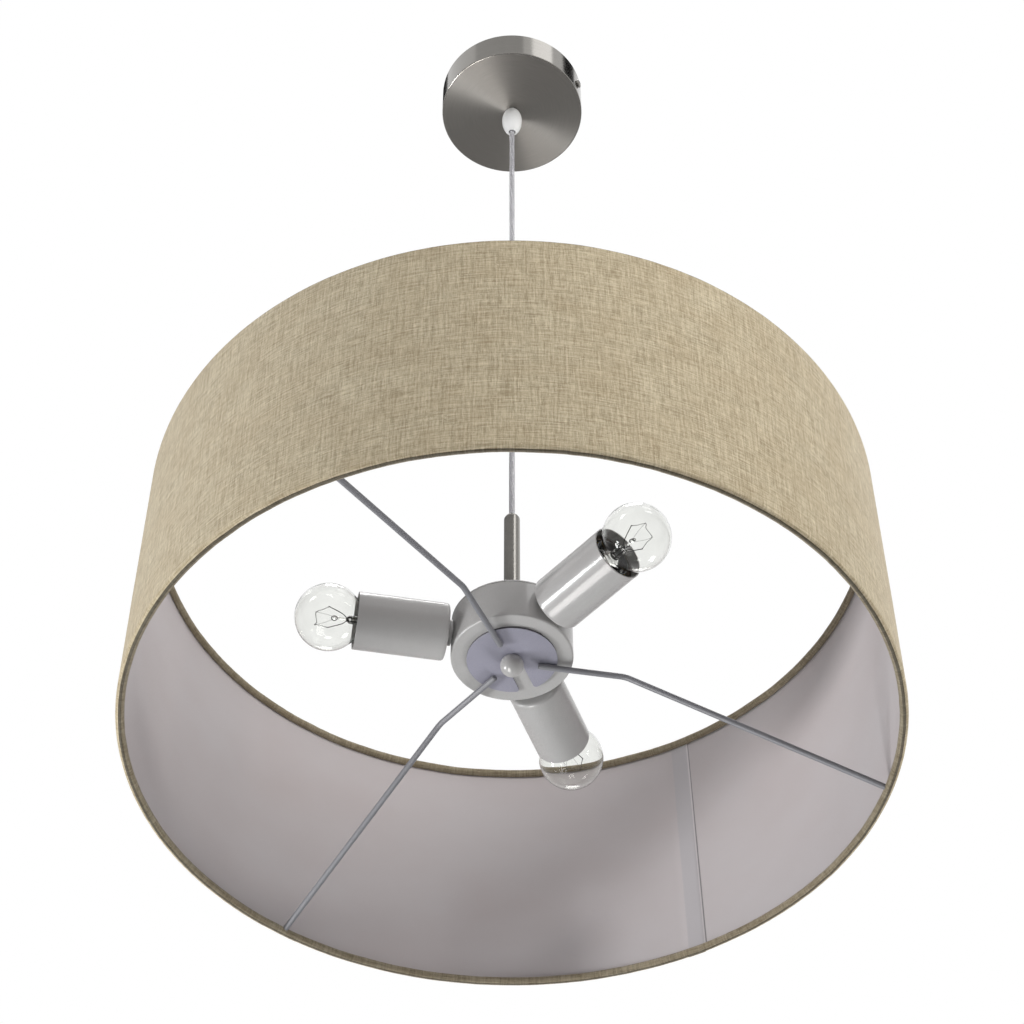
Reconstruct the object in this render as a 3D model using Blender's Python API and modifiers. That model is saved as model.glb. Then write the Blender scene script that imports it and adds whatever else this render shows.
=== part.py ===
"""Pendant light: a drum shade on a slotted carrier, clamped by a ball nut under a hub that holds three bulbs.

It hangs from a canopy by a clear cord. Metres, +Z up. The origin is where the bracket meets the ceiling, so the
light hangs to -Z. Run it with blender --background --python part.py, or from the text editor.
"""

import math

import bmesh
import bpy
from mathutils import Matrix, Vector

MM = 0.001
TURN = 2 * math.pi

# Clearances
GAP = 0.3 * MM  # between faces that touch
OVERRUN = 2 * MM  # by which a cutter passes the wall it cuts
MERGE_DISTANCE = 0.001 * MM

# Canopy and its bracket
CANOPY_RADIUS = 60 * MM
CANOPY_HEIGHT = 29 * MM
CANOPY_WALL = 0.8 * MM
CANOPY_EDGE_RADIUS = 0.9 * MM
BRACKET_WIDTH = 24 * MM
BRACKET_THICKNESS = 1.5 * MM
BRACKET_BEND_RADIUS = 2.5 * MM
BRACKET_LUG_DEPTH = 20 * MM
BRACKET_PLAY = 0.5 * MM  # between a lug and the canopy's wall
BRACKET_ANGLE = math.radians(-20)
CEILING_SLOT_WIDTH = 5 * MM
CEILING_SLOT_LENGTH = 15 * MM
CEILING_SLOT_CENTRE = 44 * MM
SIDE_SCREW_RADIUS = 2 * MM
SIDE_SCREW_LENGTH = 9 * MM
SIDE_SCREW_DEPTH = 14.5 * MM  # below the ceiling
SCREW_HEAD_RADIUS = 3.6 * MM
SCREW_HEAD_HEIGHT = 2.2 * MM
SCREW_DRIVE_WIDTH = 1 * MM
SCREW_DRIVE_DEPTH = 1.1 * MM

# Wiring in the canopy
TERMINAL_LENGTH = 24 * MM
TERMINAL_WIDTH = 17 * MM
TERMINAL_HEIGHT = 11 * MM
TERMINAL_START = 8 * MM  # from the axis, along the bracket
TERMINAL_PITCH = 5 * MM
TERMINAL_EDGE = 0.6 * MM
TERMINAL_HOLE_RADIUS = 1.1 * MM
TERMINAL_HOLE_DEPTH = 6 * MM
LEAD_RADIUS = 0.7 * MM
LEAD_SPREAD = 1.05 * MM  # from the cord's axis to a lead's, where they leave the sheath
LEAD_ENTRY = 4 * MM
LEAD_STEPS = 5
SHEATH_RISE = 3 * MM  # sheath that stands above the grip body

# Cord grip in the canopy's face
GRIP_RADIUS = 8.4 * MM
GRIP_LENGTH = 28.9 * MM
GRIP_BASE_RADIUS = 6.3 * MM
GRIP_BELLY = 11 * MM  # widest, below the base
GRIP_LIP_RADIUS = 3.1 * MM
GRIP_MOUTH_RADIUS = 2.7 * MM
GRIP_THROAT_LENGTH = 6 * MM
GRIP_BODY_RADIUS = 5 * MM
GRIP_BODY_ABOVE = 9 * MM
GRIP_BODY_BELOW = 17 * MM
GRIP_NUT_ACROSS = 14 * MM
GRIP_NUT_HEIGHT = 4 * MM

# Cord: its free length runs from the grip's mouth to the stem
CORD_RADIUS = 2.1 * MM
CORD_DROP = 490.5 * MM
CORD_PIVOT_INSET = 1 * MM  # the first bend's axis, inside the mouth
CORD_BEND_LENGTH = 12 * MM  # between the two axes of the swing
SWING_LIMIT = math.radians(20)  # each way, about each axis
CORD_POINT_SPACING = 12 * MM

# Stem and its bush, and the hollow rod that runs from the stem to the ball nut
STEM_RADIUS = 5.6 * MM
STEM_WALL = 1.2 * MM
STEM_LENGTH = 103.5 * MM
STEM_CHAMFER = 0.5 * MM
BUSH_LENGTH = 9 * MM
BUSH_FLANGE_RADIUS = 4.9 * MM
BUSH_FLANGE_HEIGHT = 0.8 * MM
ROD_RADIUS = 4 * MM
ROD_BORE_RADIUS = 2.6 * MM
ROD_INTO_STEM = 12 * MM
ROD_INTO_FINIAL = 8.5 * MM
ROD_WINDOW_HEIGHT = 9 * MM
ROD_WINDOW_WIDTH = 3.4 * MM
ROD_NUT_ACROSS = 13 * MM
ROD_NUT_HEIGHT = 4 * MM

# Hub
HUB_RADIUS = 40.5 * MM
HUB_HEIGHT = 33 * MM
HUB_WALL = 1.2 * MM
HUB_FLOOR = 1.5 * MM
HUB_EDGE_RADIUS = 1.2 * MM
LID_THICKNESS = 1.5 * MM
LID_LIP_DEPTH = 2 * MM
LID_LIP_WALL = 1 * MM

# Lampholders, measured outwards along each holder's axis
HOLDER_COUNT = 3
HOLDER_START_ANGLE = math.radians(70.4)
HOLDER_HEIGHT = 16.5 * MM  # axis above the hub's underside
COLLAR_RADIUS = 8.8 * MM
COLLAR_LENGTH = 3 * MM
NIPPLE_RADIUS = 5 * MM
NIPPLE_BORE_RADIUS = 3.4 * MM
NIPPLE_HEAD_ACROSS = 14 * MM
NIPPLE_HEAD_HEIGHT = 4 * MM
NIPPLE_INTO_HOLDER = 6 * MM
SLEEVE_RADIUS = 19.2 * MM
SLEEVE_LENGTH = 60.5 * MM
SLEEVE_WALL = 0.9 * MM
SLEEVE_BASE = 1.2 * MM
SLEEVE_EDGE_RADIUS = 3 * MM
LAMPHOLDER_PLAY = 0.6 * MM  # between the lampholder and the sleeve
LAMPHOLDER_LENGTH = 52.4 * MM
LAMPHOLDER_NECK_RADIUS = 11 * MM
LAMPHOLDER_NECK_LENGTH = 8 * MM
LAMPHOLDER_SHOULDER = 6 * MM
LAMPHOLDER_FLOOR = 24.7 * MM
SHELL_WALL = 0.45 * MM
SHELL_LENGTH = 20.5 * MM
SHELL_START = 5.5 * MM  # above the lampholder's floor
SOCKET_CONTACT_RADIUS = 4 * MM
SOCKET_CONTACT_THICKNESS = 2 * MM

# Bulb: golf-ball globe on an E27 cap
BULB_LENGTH = 72 * MM
GLOBE_RADIUS = 22.5 * MM
GLASS_WALL = 0.7 * MM
NECK_INSERT = 4 * MM
NECK_STRAIGHT = 0.7 * MM  # neck that shows above the cap
NECK_BLEND_RADIUS = 15 * MM  # distance from the axis at which the neck has become the globe
CAP_RADIUS = 13.05 * MM
CAP_WALL = 0.5 * MM
CAP_LENGTH = 23.8 * MM
CAP_CONE = 3.5 * MM
CAP_END_RADIUS = 7 * MM
CAP_FLOOR = 9 * MM
CAP_PLAY = 0.4 * MM  # between the cap and the socket's shell
BUTTON_RADIUS = 4.5 * MM
BUTTON_HEIGHT = 2.8 * MM
FLARE_HEIGHT = 5.5 * MM
STEM_GLASS_RADIUS = 3.2 * MM
STEM_GLASS_TIP_RADIUS = 2 * MM
STEM_GLASS_LENGTH = 9 * MM
SUPPORT_RADIUS = 0.7 * MM
SUPPORT_LENGTH = 12 * MM
FILAMENT_RADIUS = 0.35 * MM
FILAMENT_SPAN = 9 * MM  # from the axis to a lead's end
FILAMENT_SAG = 3 * MM
FILAMENT_ROOT = 1 * MM
FILAMENT_CORNER = 5.5 * MM
FILAMENT_RISE = 8 * MM  # its arch, beyond the leads' ends
FILAMENT_ANGLES = [math.radians(angle) for angle in (20, 265, 118)]  # as each bulb is screwed in

# Shade
SHADE_RADIUS = 250 * MM
SHADE_HEIGHT = 200 * MM
SHADE_DROP = 78.1 * MM  # lower rim below the hub's underside
FABRIC_THICKNESS = 0.8 * MM
LINING_THICKNESS = 0.5 * MM
RING_WIRE_RADIUS = 1.6 * MM
HEM_GAP = 0.45 * MM  # between the hem and the ring that it wraps
HEM_WRAP = math.radians(286)  # how far the hem goes round its ring

# Shade carrier and ball nut
PLATE_RADIUS = 30 * MM
PLATE_THICKNESS = 1.5 * MM
SLOT_RADIUS = 5.1 * MM
SLOT_CORNER_RADIUS = 2 * MM
SLOT_ANGLE = math.radians(70)
ARM_RADIUS = 2 * MM
ARM_START = 17.5 * MM
ARM_BEND = 76 * MM
ARM_BEND_RADIUS = 18 * MM
ARM_ANGLES = tuple(math.radians(angle) for angle in (10, 129.5, 246))
ARM_NOTCH_PLAY = 0.4 * MM
FINIAL_RADIUS = 7.8 * MM
FINIAL_SEAT_HEIGHT = 4.3 * MM  # flat seat above the ball's centre
FINIAL_BORE_DEPTH = 9 * MM

# Facets
SHADE_STEPS = 48
CANOPY_STEPS = 48
HUB_STEPS = 36
SLEEVE_STEPS = 20
BULB_STEPS = 16
SMALL_STEPS = 16
TINY_STEPS = 8
WIRE_SIDES = 6
ROD_SIDES = 8
SHARP_ANGLE = math.radians(35)

# Levels, from the ceiling down
FACE_Z = -CANOPY_HEIGHT
GRIP_TOP_Z = FACE_Z - GAP
MOUTH_Z = GRIP_TOP_Z - GRIP_LENGTH
UPPER_PIVOT_Z = MOUTH_Z + CORD_PIVOT_INSET
LOWER_PIVOT_Z = UPPER_PIVOT_Z - CORD_BEND_LENGTH
STEM_TOP_Z = MOUTH_Z - CORD_DROP
HUB_TOP_Z = STEM_TOP_Z - STEM_LENGTH
HUB_BOTTOM_Z = HUB_TOP_Z - HUB_HEIGHT
HOLDER_Z = HUB_BOTTOM_Z + HOLDER_HEIGHT
PLATE_BOTTOM_Z = HUB_BOTTOM_Z - GAP - PLATE_THICKNESS
ARM_Z = PLATE_BOTTOM_Z - GAP - ARM_RADIUS
FINIAL_Z = PLATE_BOTTOM_Z - GAP - FINIAL_SEAT_HEIGHT
RIM_Z = HUB_BOTTOM_Z - SHADE_DROP

# Places along a holder's axis, from the light's axis outwards
SLEEVE_START = HUB_RADIUS + GAP + COLLAR_LENGTH + GAP
LAMPHOLDER_START = SLEEVE_START + SLEEVE_BASE + GAP
FLOOR_AT = LAMPHOLDER_START + LAMPHOLDER_FLOOR
SOCKET_CONTACT_END = FLOOR_AT + GAP + SOCKET_CONTACT_THICKNESS
BUTTON_START = SOCKET_CONTACT_END + GAP
CAP_START = BUTTON_START + BUTTON_HEIGHT + GAP
CAP_END = CAP_START + CAP_LENGTH
GLOBE_CENTRE = BUTTON_START + BULB_LENGTH - GLOBE_RADIUS
SHELL_RADIUS = CAP_RADIUS + CAP_PLAY  # inside of the socket's screw shell
LAMPHOLDER_RADIUS = SLEEVE_RADIUS - SLEEVE_WALL - LAMPHOLDER_PLAY

# The hem's turn round a ring, as radii from the wire's centre
HEM_INSIDE = RING_WIRE_RADIUS + HEM_GAP
HEM_OUTSIDE = HEM_INSIDE + FABRIC_THICKNESS
RING_RADIUS = SHADE_RADIUS - HEM_OUTSIDE
RING_LEVEL = HEM_OUTSIDE  # wire's centre above the rim
RING_SAG = RING_RADIUS * (1 - math.cos(math.pi / SHADE_STEPS))  # of a facet's middle

# Colour, roughness and metallic value of each material
FINISHES = {
    "brushed_nickel": ((0.46, 0.44, 0.42), 0.32, 1.0),
    "satin_nickel": ((0.55, 0.54, 0.52), 0.22, 1.0),
    "zinc_steel": ((0.62, 0.63, 0.65), 0.4, 1.0),
    "brass": ((0.72, 0.55, 0.28), 0.35, 1.0),
    "white_paint": ((0.80, 0.80, 0.79), 0.35, 0.0),
    "white_nylon": ((0.88, 0.88, 0.86), 0.45, 0.0),
    "black_phenolic": ((0.03, 0.03, 0.03), 0.45, 0.0),
    "clear_pvc": ((0.75, 0.76, 0.78), 0.2, 0.0),
    "brown_lead": ((0.30, 0.16, 0.08), 0.45, 0.0),
    "blue_lead": ((0.08, 0.20, 0.55), 0.45, 0.0),
    "green_lead": ((0.35, 0.50, 0.10), 0.45, 0.0),
    "clear_glass": ((0.92, 0.95, 0.96), 0.03, 0.0),
    "glass_mount": ((0.60, 0.60, 0.60), 0.2, 0.0),
    "linen": ((0.62, 0.56, 0.42), 0.9, 0.0),
    "white_lining": ((0.78, 0.77, 0.76), 0.6, 0.0),
}


def clear_scene():
    for obj in list(bpy.data.objects):
        bpy.data.objects.remove(obj, do_unlink=True)


def new_collection(name):
    collection = bpy.data.collections.new(name)
    bpy.context.scene.collection.children.link(collection)
    return collection


def make_finishes():
    for name, (colour, roughness, metallic) in FINISHES.items():
        material = bpy.data.materials.new(name)
        material.use_nodes = True
        shader = material.node_tree.nodes["Principled BSDF"]
        shader.inputs["Base Color"].default_value = (*colour, 1)
        shader.inputs["Roughness"].default_value = roughness
        shader.inputs["Metallic"].default_value = metallic
        material.diffuse_color = (*colour, 1)


def add(name, data, finish, parent, z=0.0):
    """Adds a piece, or a cutter where the finish is None, at a height along its parent's Z."""
    obj = bpy.data.objects.new(name, data)
    obj.parent = parent
    obj.location.z = z
    if finish is None:
        cutters.objects.link(obj)
        obj.hide_render = True
        obj.display_type = "WIRE"
    else:
        parts.objects.link(obj)
        data.materials.append(bpy.data.materials[finish])
    return obj


def axis_empty(name, parent=None, z=0.0, rotation=(0, 0, 0)):
    empty = bpy.data.objects.new(name, None)
    parts.objects.link(empty)
    empty.parent = parent
    empty.location.z = z
    empty.rotation_euler = rotation
    return empty


def shade(mesh):
    mesh.shade_smooth()
    mesh.set_sharp_from_angle(angle=SHARP_ANGLE)


def evaluated_mesh(obj):
    graph = bpy.context.evaluated_depsgraph_get()
    return bpy.data.meshes.new_from_object(obj.evaluated_get(graph))


def from_bmesh(bm, name, finish, parent, z=0.0):
    mesh = bpy.data.meshes.new(name)
    bm.to_mesh(mesh)
    bm.free()
    shade(mesh)
    return add(name, mesh, finish, parent, z)


def turned(name, outline, finish, steps, parent, z=0.0):
    """A profile of (radius, height) pairs, turned about Z. It closes on itself, or along the axis."""
    if signed_area(outline) > 0:
        outline = outline[::-1]
    last = len(outline) - 1
    edges = [(index, index + 1) for index in range(last)]
    if outline[0][0] > 0:
        edges.append((last, 0))
    mesh = bpy.data.meshes.new(name)
    mesh.from_pydata([(radius, 0, height) for radius, height in outline], edges, [])
    obj = add(name, mesh, finish, parent, z)
    screw = obj.modifiers.new("turn", "SCREW")
    screw.steps = screw.render_steps = steps
    screw.use_merge_vertices = True
    screw.merge_threshold = MERGE_DISTANCE
    obj.data = evaluated_mesh(obj)
    obj.modifiers.clear()
    shade(obj.data)
    return obj


def signed_area(outline):
    pairs = zip(outline, outline[1:] + outline[:1])
    return sum(x1 * y2 - x2 * y1 for (x1, y1), (x2, y2) in pairs) / 2


def tube(name, outside, inside, bottom, top, finish, steps, parent):
    outline = [(outside, top), (outside, bottom), (inside, bottom), (inside, top)]
    return turned(name, outline, finish, steps, parent)


def cylinder(name, radius, bottom, top, finish, steps, parent):
    bm = bmesh.new()
    middle = Matrix.Translation((0, 0, (bottom + top) / 2))
    bmesh.ops.create_cone(
        bm, cap_ends=True, segments=steps, radius1=radius, radius2=radius, depth=top - bottom, matrix=middle
    )
    return from_bmesh(bm, name, finish, parent)


def box(name, low, high, finish, parent):
    """A box between two opposite corners."""
    low, high = Vector(low), Vector(high)
    bm = bmesh.new()
    bmesh.ops.create_cube(bm, size=1, matrix=Matrix.LocRotScale((low + high) / 2, None, high - low))
    return from_bmesh(bm, name, finish, parent)


def flat(name, outline, thickness, finish, parent, z=0.0):
    """An outline of (x, y) points, extruded to both sides of z, as a mesh that a Boolean takes."""
    curve = bpy.data.curves.new(name, "CURVE")
    curve.dimensions = "2D"
    curve.fill_mode = "BOTH"
    curve.extrude = thickness / 2
    spline = curve.splines.new("POLY")
    spline.points.add(len(outline) - 1)
    for point, (x, y) in zip(spline.points, outline):
        point.co = (x, y, 0, 1)
    spline.use_cyclic_u = True
    return as_mesh(add(name, curve, finish, parent, z))


def wire(name, points, radius, sides, finish, parent):
    """A round rod, cord or lead along the points."""
    curve = bpy.data.curves.new(name, "CURVE")
    curve.dimensions = "3D"
    curve.bevel_depth = radius
    curve.bevel_resolution = sides // 2 - 2
    curve.use_fill_caps = True
    spline = curve.splines.new("POLY")
    spline.points.add(len(points) - 1)
    for point, place in zip(spline.points, points):
        point.co = (*place, 1)
    spline.use_smooth = True
    return add(name, curve, finish, parent)


def as_mesh(curve_object):
    """The curve object made into a mesh object with its caps welded, because a Boolean takes no curve."""
    bm = bmesh.new()
    bm.from_mesh(evaluated_mesh(curve_object))
    bmesh.ops.remove_doubles(bm, verts=bm.verts, dist=MERGE_DISTANCE)
    bmesh.ops.recalc_face_normals(bm, faces=bm.faces)
    name, parent, place = curve_object.name, curve_object.parent, curve_object.location.copy()
    slots = curve_object.material_slots
    finish = slots[0].material.name if slots else None
    bpy.data.objects.remove(curve_object)
    obj = from_bmesh(bm, name, finish, parent)
    obj.location = place
    return obj


def boolean(obj, other, operation="DIFFERENCE"):
    modifier = obj.modifiers.new(other.name, "BOOLEAN")
    modifier.operation = operation
    modifier.solver = "EXACT"
    modifier.object = other


def arc(centre_x, centre_y, radius, start, end, steps):
    """Points on a circle from one angle to another, ends included."""
    angles = [start + (end - start) * step / steps for step in range(steps + 1)]
    return [(centre_x + radius * math.cos(a), centre_y + radius * math.sin(a)) for a in angles]


def rounded(corner, before, after, radius, steps):
    """Points that round a corner between its neighbours in an outline."""
    corner, before, after = (Vector(point) for point in (corner, before, after))
    back, ahead = (before - corner).normalized(), (after - corner).normalized()
    half = back.angle(ahead) / 2
    centre = corner + (back + ahead).normalized() * radius / math.sin(half)
    reach = radius / math.tan(half)
    start, end = corner + back * reach - centre, corner + ahead * reach - centre
    angle = math.atan2(start.y, start.x)
    sweep = math.remainder(math.atan2(end.y, end.x) - angle, TURN)
    return arc(centre.x, centre.y, radius, angle, angle + sweep, steps)


def blended(start, corner, end, steps):
    """Points on a smooth bend from start to end that the corner pulls on."""
    start, corner, end = Vector(start), Vector(corner), Vector(end)
    points = []
    for step in range(steps + 1):
        t = step / steps
        points.append(tuple(start * (1 - t) ** 2 + corner * 2 * t * (1 - t) + end * t * t))
    return points


def hex_nut(name, across, bore, bottom, top, finish, parent):
    nut = cylinder(name, across / math.sqrt(3), bottom, top, finish, 6, parent)
    boolean(nut, cylinder(f"{name}_bore", bore, bottom - OVERRUN, top + OVERRUN, None, SMALL_STEPS, parent))


def make_bracket(bracket_axis):
    """The steel strip on the ceiling, with a lug at each end for a side screw."""
    inside = CANOPY_RADIUS - CANOPY_WALL - BRACKET_PLAY
    reach = math.sqrt(inside**2 - (BRACKET_WIDTH / 2) ** 2)
    inner_reach, inner_radius = reach - BRACKET_THICKNESS, BRACKET_BEND_RADIUS - BRACKET_THICKNESS
    end = -BRACKET_LUG_DEPTH
    right = [(reach, end), *rounded((reach, 0), (reach, end), (0, 0), BRACKET_BEND_RADIUS, 3)]
    corner = (inner_reach, -BRACKET_THICKNESS)
    under = rounded(corner, (0, -BRACKET_THICKNESS), (inner_reach, end), inner_radius, 3)
    under.append((inner_reach, end))
    left = [(-x, y) for x, y in right[::-1]]
    outline = right + left + [(-x, y) for x, y in under[::-1]] + under
    strip = flat("ceiling_bracket", outline, BRACKET_WIDTH, "zinc_steel", bracket_axis)
    strip.rotation_euler.x = math.pi / 2
    half = (CEILING_SLOT_LENGTH - CEILING_SLOT_WIDTH) / 2
    for side, centre in (("a", -CEILING_SLOT_CENTRE), ("b", CEILING_SLOT_CENTRE)):
        outline = arc(centre + half, 0, CEILING_SLOT_WIDTH / 2, -math.pi / 2, math.pi / 2, 4)
        outline += arc(centre - half, 0, CEILING_SLOT_WIDTH / 2, math.pi / 2, math.pi * 3 / 2, 4)
        slot = flat(f"ceiling_slot_{side}", outline, 2 * OVERRUN + BRACKET_THICKNESS, None, bracket_axis)
        boolean(strip, slot)
    return strip


def make_canopy(root, bracket_axis, strip):
    """The spun cup: open at the ceiling, with the cord grip's hole in its face and a screw at each side."""
    edge = rounded((CANOPY_RADIUS, FACE_Z), (CANOPY_RADIUS, -GAP), (0, FACE_Z), CANOPY_EDGE_RADIUS, 2)
    inside = CANOPY_RADIUS - CANOPY_WALL
    hole = GRIP_BODY_RADIUS + GAP
    outline = [(CANOPY_RADIUS, -GAP), *edge]
    outline += [(hole, FACE_Z), (hole, FACE_Z + CANOPY_WALL), (inside, FACE_Z + CANOPY_WALL), (inside, -GAP)]
    cup = turned("canopy_cup", outline, "brushed_nickel", CANOPY_STEPS, root)
    for number, side in ((1, 1), (2, -1)):
        axis = axis_empty(f"canopy_screw_{number}_axis", bracket_axis, -SIDE_SCREW_DEPTH, (0, side * math.pi / 2, 0))
        hole = cylinder(f"canopy_screw_{number}_hole", SIDE_SCREW_RADIUS + GAP, CANOPY_RADIUS - 2 * SIDE_SCREW_LENGTH,
                        CANOPY_RADIUS + OVERRUN, None, SMALL_STEPS, axis)
        boolean(cup, hole)
        boolean(strip, hole)
        make_side_screw(f"canopy_screw_{number}", axis)


def make_side_screw(name, axis):
    seat = CANOPY_RADIUS + GAP
    top = seat + SCREW_HEAD_HEIGHT
    dome = blended((SCREW_HEAD_RADIUS, seat + SCREW_HEAD_HEIGHT / 2), (SCREW_HEAD_RADIUS, top), (0, top), 4)
    outline = [(0, seat - SIDE_SCREW_LENGTH), (SIDE_SCREW_RADIUS, seat - SIDE_SCREW_LENGTH)]
    outline += [(SIDE_SCREW_RADIUS, seat), (SCREW_HEAD_RADIUS, seat), *dome]
    screw = turned(name, outline, "satin_nickel", SMALL_STEPS, axis)
    half, reach = SCREW_DRIVE_WIDTH / 2, SCREW_HEAD_RADIUS + OVERRUN
    low, high = (-half, -reach, top - SCREW_DRIVE_DEPTH), (half, reach, top + OVERRUN)
    boolean(screw, box(f"{name}_drive", low, high, None, axis))


def make_terminals(bracket_axis):
    """The terminal block under the bracket, and the three leads from the cord into it."""
    top = -BRACKET_THICKNESS - GAP
    bottom = top - TERMINAL_HEIGHT
    half = TERMINAL_WIDTH / 2
    block = box("terminal_block", (TERMINAL_START, -half, bottom), (TERMINAL_START + TERMINAL_LENGTH, half, top),
                "white_nylon", bracket_axis)
    bevel = block.modifiers.new("edges", "BEVEL")
    bevel.width = TERMINAL_EDGE
    bevel.segments = 1
    level = (top + bottom) / 2
    sheath_end = FACE_Z + GRIP_BODY_ABOVE + SHEATH_RISE + GAP
    places = (("neutral", "blue", -TERMINAL_PITCH, 7), ("earth", "green", 0, 11), ("live", "brown", TERMINAL_PITCH, 3))
    for use, colour, across, hour in places:
        name = f"lead_{use}"
        entry = axis_empty(f"{name}_entry", bracket_axis, level, (0, math.pi / 2, 0))
        entry.location.y = across
        boolean(block, cylinder(f"{name}_hole", TERMINAL_HOLE_RADIUS, TERMINAL_START - OVERRUN,
                                TERMINAL_START + TERMINAL_HOLE_DEPTH, None, TINY_STEPS, entry))
        angle = TURN * hour / 12
        x, y = LEAD_SPREAD * math.cos(angle), LEAD_SPREAD * math.sin(angle)
        mouth = (TERMINAL_START, across, level)
        points = blended((x, y, sheath_end), (x, y, level), mouth, LEAD_STEPS)
        points.append((TERMINAL_START + LEAD_ENTRY, across, level))
        wire(name, points, LEAD_RADIUS, WIRE_SIDES, f"{colour}_lead", bracket_axis)


def make_grip(root):
    """The cord grip: a threaded body through the canopy's face, its nut inside and its domed cap below."""
    tube("cord_grip_body", GRIP_BODY_RADIUS, CORD_RADIUS + GAP, FACE_Z - GRIP_BODY_BELOW, FACE_Z + GRIP_BODY_ABOVE,
         "white_nylon", SMALL_STEPS, root)
    nut_bottom = FACE_Z + CANOPY_WALL + GAP
    hex_nut("cord_grip_nut", GRIP_NUT_ACROSS, GRIP_BODY_RADIUS + GAP, nut_bottom, nut_bottom + GRIP_NUT_HEIGHT,
            "white_nylon", root)
    base_angle = math.acos(GRIP_BASE_RADIUS / GRIP_RADIUS)
    lip_angle = math.acos(GRIP_LIP_RADIUS / GRIP_RADIUS)
    shoulder = GRIP_BELLY / math.sin(base_angle)
    nose = (GRIP_LENGTH - GRIP_BELLY) / math.sin(lip_angle)
    curves = [(x, shoulder * y) for x, y in arc(0, 0, 1, -base_angle, 0, 3)[:-1]]
    curves += [(x, nose * y) for x, y in arc(0, 0, 1, 0, lip_angle, 5)]
    outline = [(GRIP_RADIUS * x, GRIP_TOP_Z - GRIP_BELLY - drop) for x, drop in curves]
    cavity = GRIP_BODY_RADIUS + GAP
    outline += [(GRIP_MOUTH_RADIUS, MOUTH_Z), (GRIP_MOUTH_RADIUS, MOUTH_Z + GRIP_THROAT_LENGTH)]
    outline += [(cavity, GRIP_TOP_Z - GRIP_BODY_BELOW), (cavity, GRIP_TOP_Z)]
    turned("cord_grip_cap", outline, "white_nylon", BULB_STEPS, root)


def straight_cord(name, top, bottom, parent):
    spans = max(1, round((top - bottom) / CORD_POINT_SPACING))
    points = [(0, 0, top + (bottom - top) * index / spans) for index in range(spans + 1)]
    wire(name, points, CORD_RADIUS, ROD_SIDES, "clear_pvc", parent)


def make_cord(root, swing_x, swing_y, lamp):
    """The cord: held in the grip, bending at its mouth, hanging free to the stem, and held again inside it."""
    half_gap = GAP / 2
    bend_gap = CORD_RADIUS * math.tan(SWING_LIMIT / 2) + GAP / 4
    entry = STEM_TOP_Z + GAP + BUSH_FLANGE_HEIGHT
    tail_end = HUB_TOP_Z - HUB_HEIGHT / 4
    straight_cord("cord_tail_upper", FACE_Z + GRIP_BODY_ABOVE + SHEATH_RISE, UPPER_PIVOT_Z + bend_gap, root)
    straight_cord("cord_bend", -bend_gap, bend_gap - CORD_BEND_LENGTH, swing_x)
    straight_cord("pendant_cord", -bend_gap, entry - LOWER_PIVOT_Z + half_gap, swing_y)
    straight_cord("cord_tail_lower", entry - STEM_TOP_Z - half_gap, tail_end - STEM_TOP_Z, lamp)


def make_stem(lamp):
    """Stem, bush, and the rod from the stem through the hub to the ball nut. Heights are from the stem's top."""
    inside = STEM_RADIUS - STEM_WALL
    bottom = GAP - STEM_LENGTH
    outline = [(STEM_RADIUS - STEM_CHAMFER, 0), (STEM_RADIUS, -STEM_CHAMFER), (STEM_RADIUS, bottom)]
    outline += [(inside, bottom), (inside, 0)]
    turned("stem_tube", outline, "satin_nickel", SLEEVE_STEPS, lamp)
    bore, shank = CORD_RADIUS + GAP, inside - GAP
    flange_top = GAP + BUSH_FLANGE_HEIGHT
    outline = [(BUSH_FLANGE_RADIUS, flange_top), (BUSH_FLANGE_RADIUS, GAP), (shank, GAP)]
    outline += [(shank, -BUSH_LENGTH), (bore, -BUSH_LENGTH), (bore, flange_top)]
    turned("stem_bush", outline, "satin_nickel", SMALL_STEPS, lamp)
    tip = PLATE_BOTTOM_Z - GAP - ROD_INTO_FINIAL - STEM_TOP_Z
    rod = tube("centre_rod", ROD_RADIUS, ROD_BORE_RADIUS, tip, ROD_INTO_STEM - STEM_LENGTH, "zinc_steel",
               SMALL_STEPS, lamp)
    middle, half = HOLDER_Z - STEM_TOP_Z, ROD_WINDOW_WIDTH / 2
    low = (0, -half, middle - ROD_WINDOW_HEIGHT / 2)
    high = (ROD_RADIUS + OVERRUN, half, middle + ROD_WINDOW_HEIGHT / 2)
    boolean(rod, box("rod_window", low, high, None, lamp))
    nut_bottom = HUB_BOTTOM_Z + HUB_FLOOR + GAP - STEM_TOP_Z
    hex_nut("rod_nut", ROD_NUT_ACROSS, ROD_RADIUS + GAP, nut_bottom, nut_bottom + ROD_NUT_HEIGHT, "zinc_steel", lamp)


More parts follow.
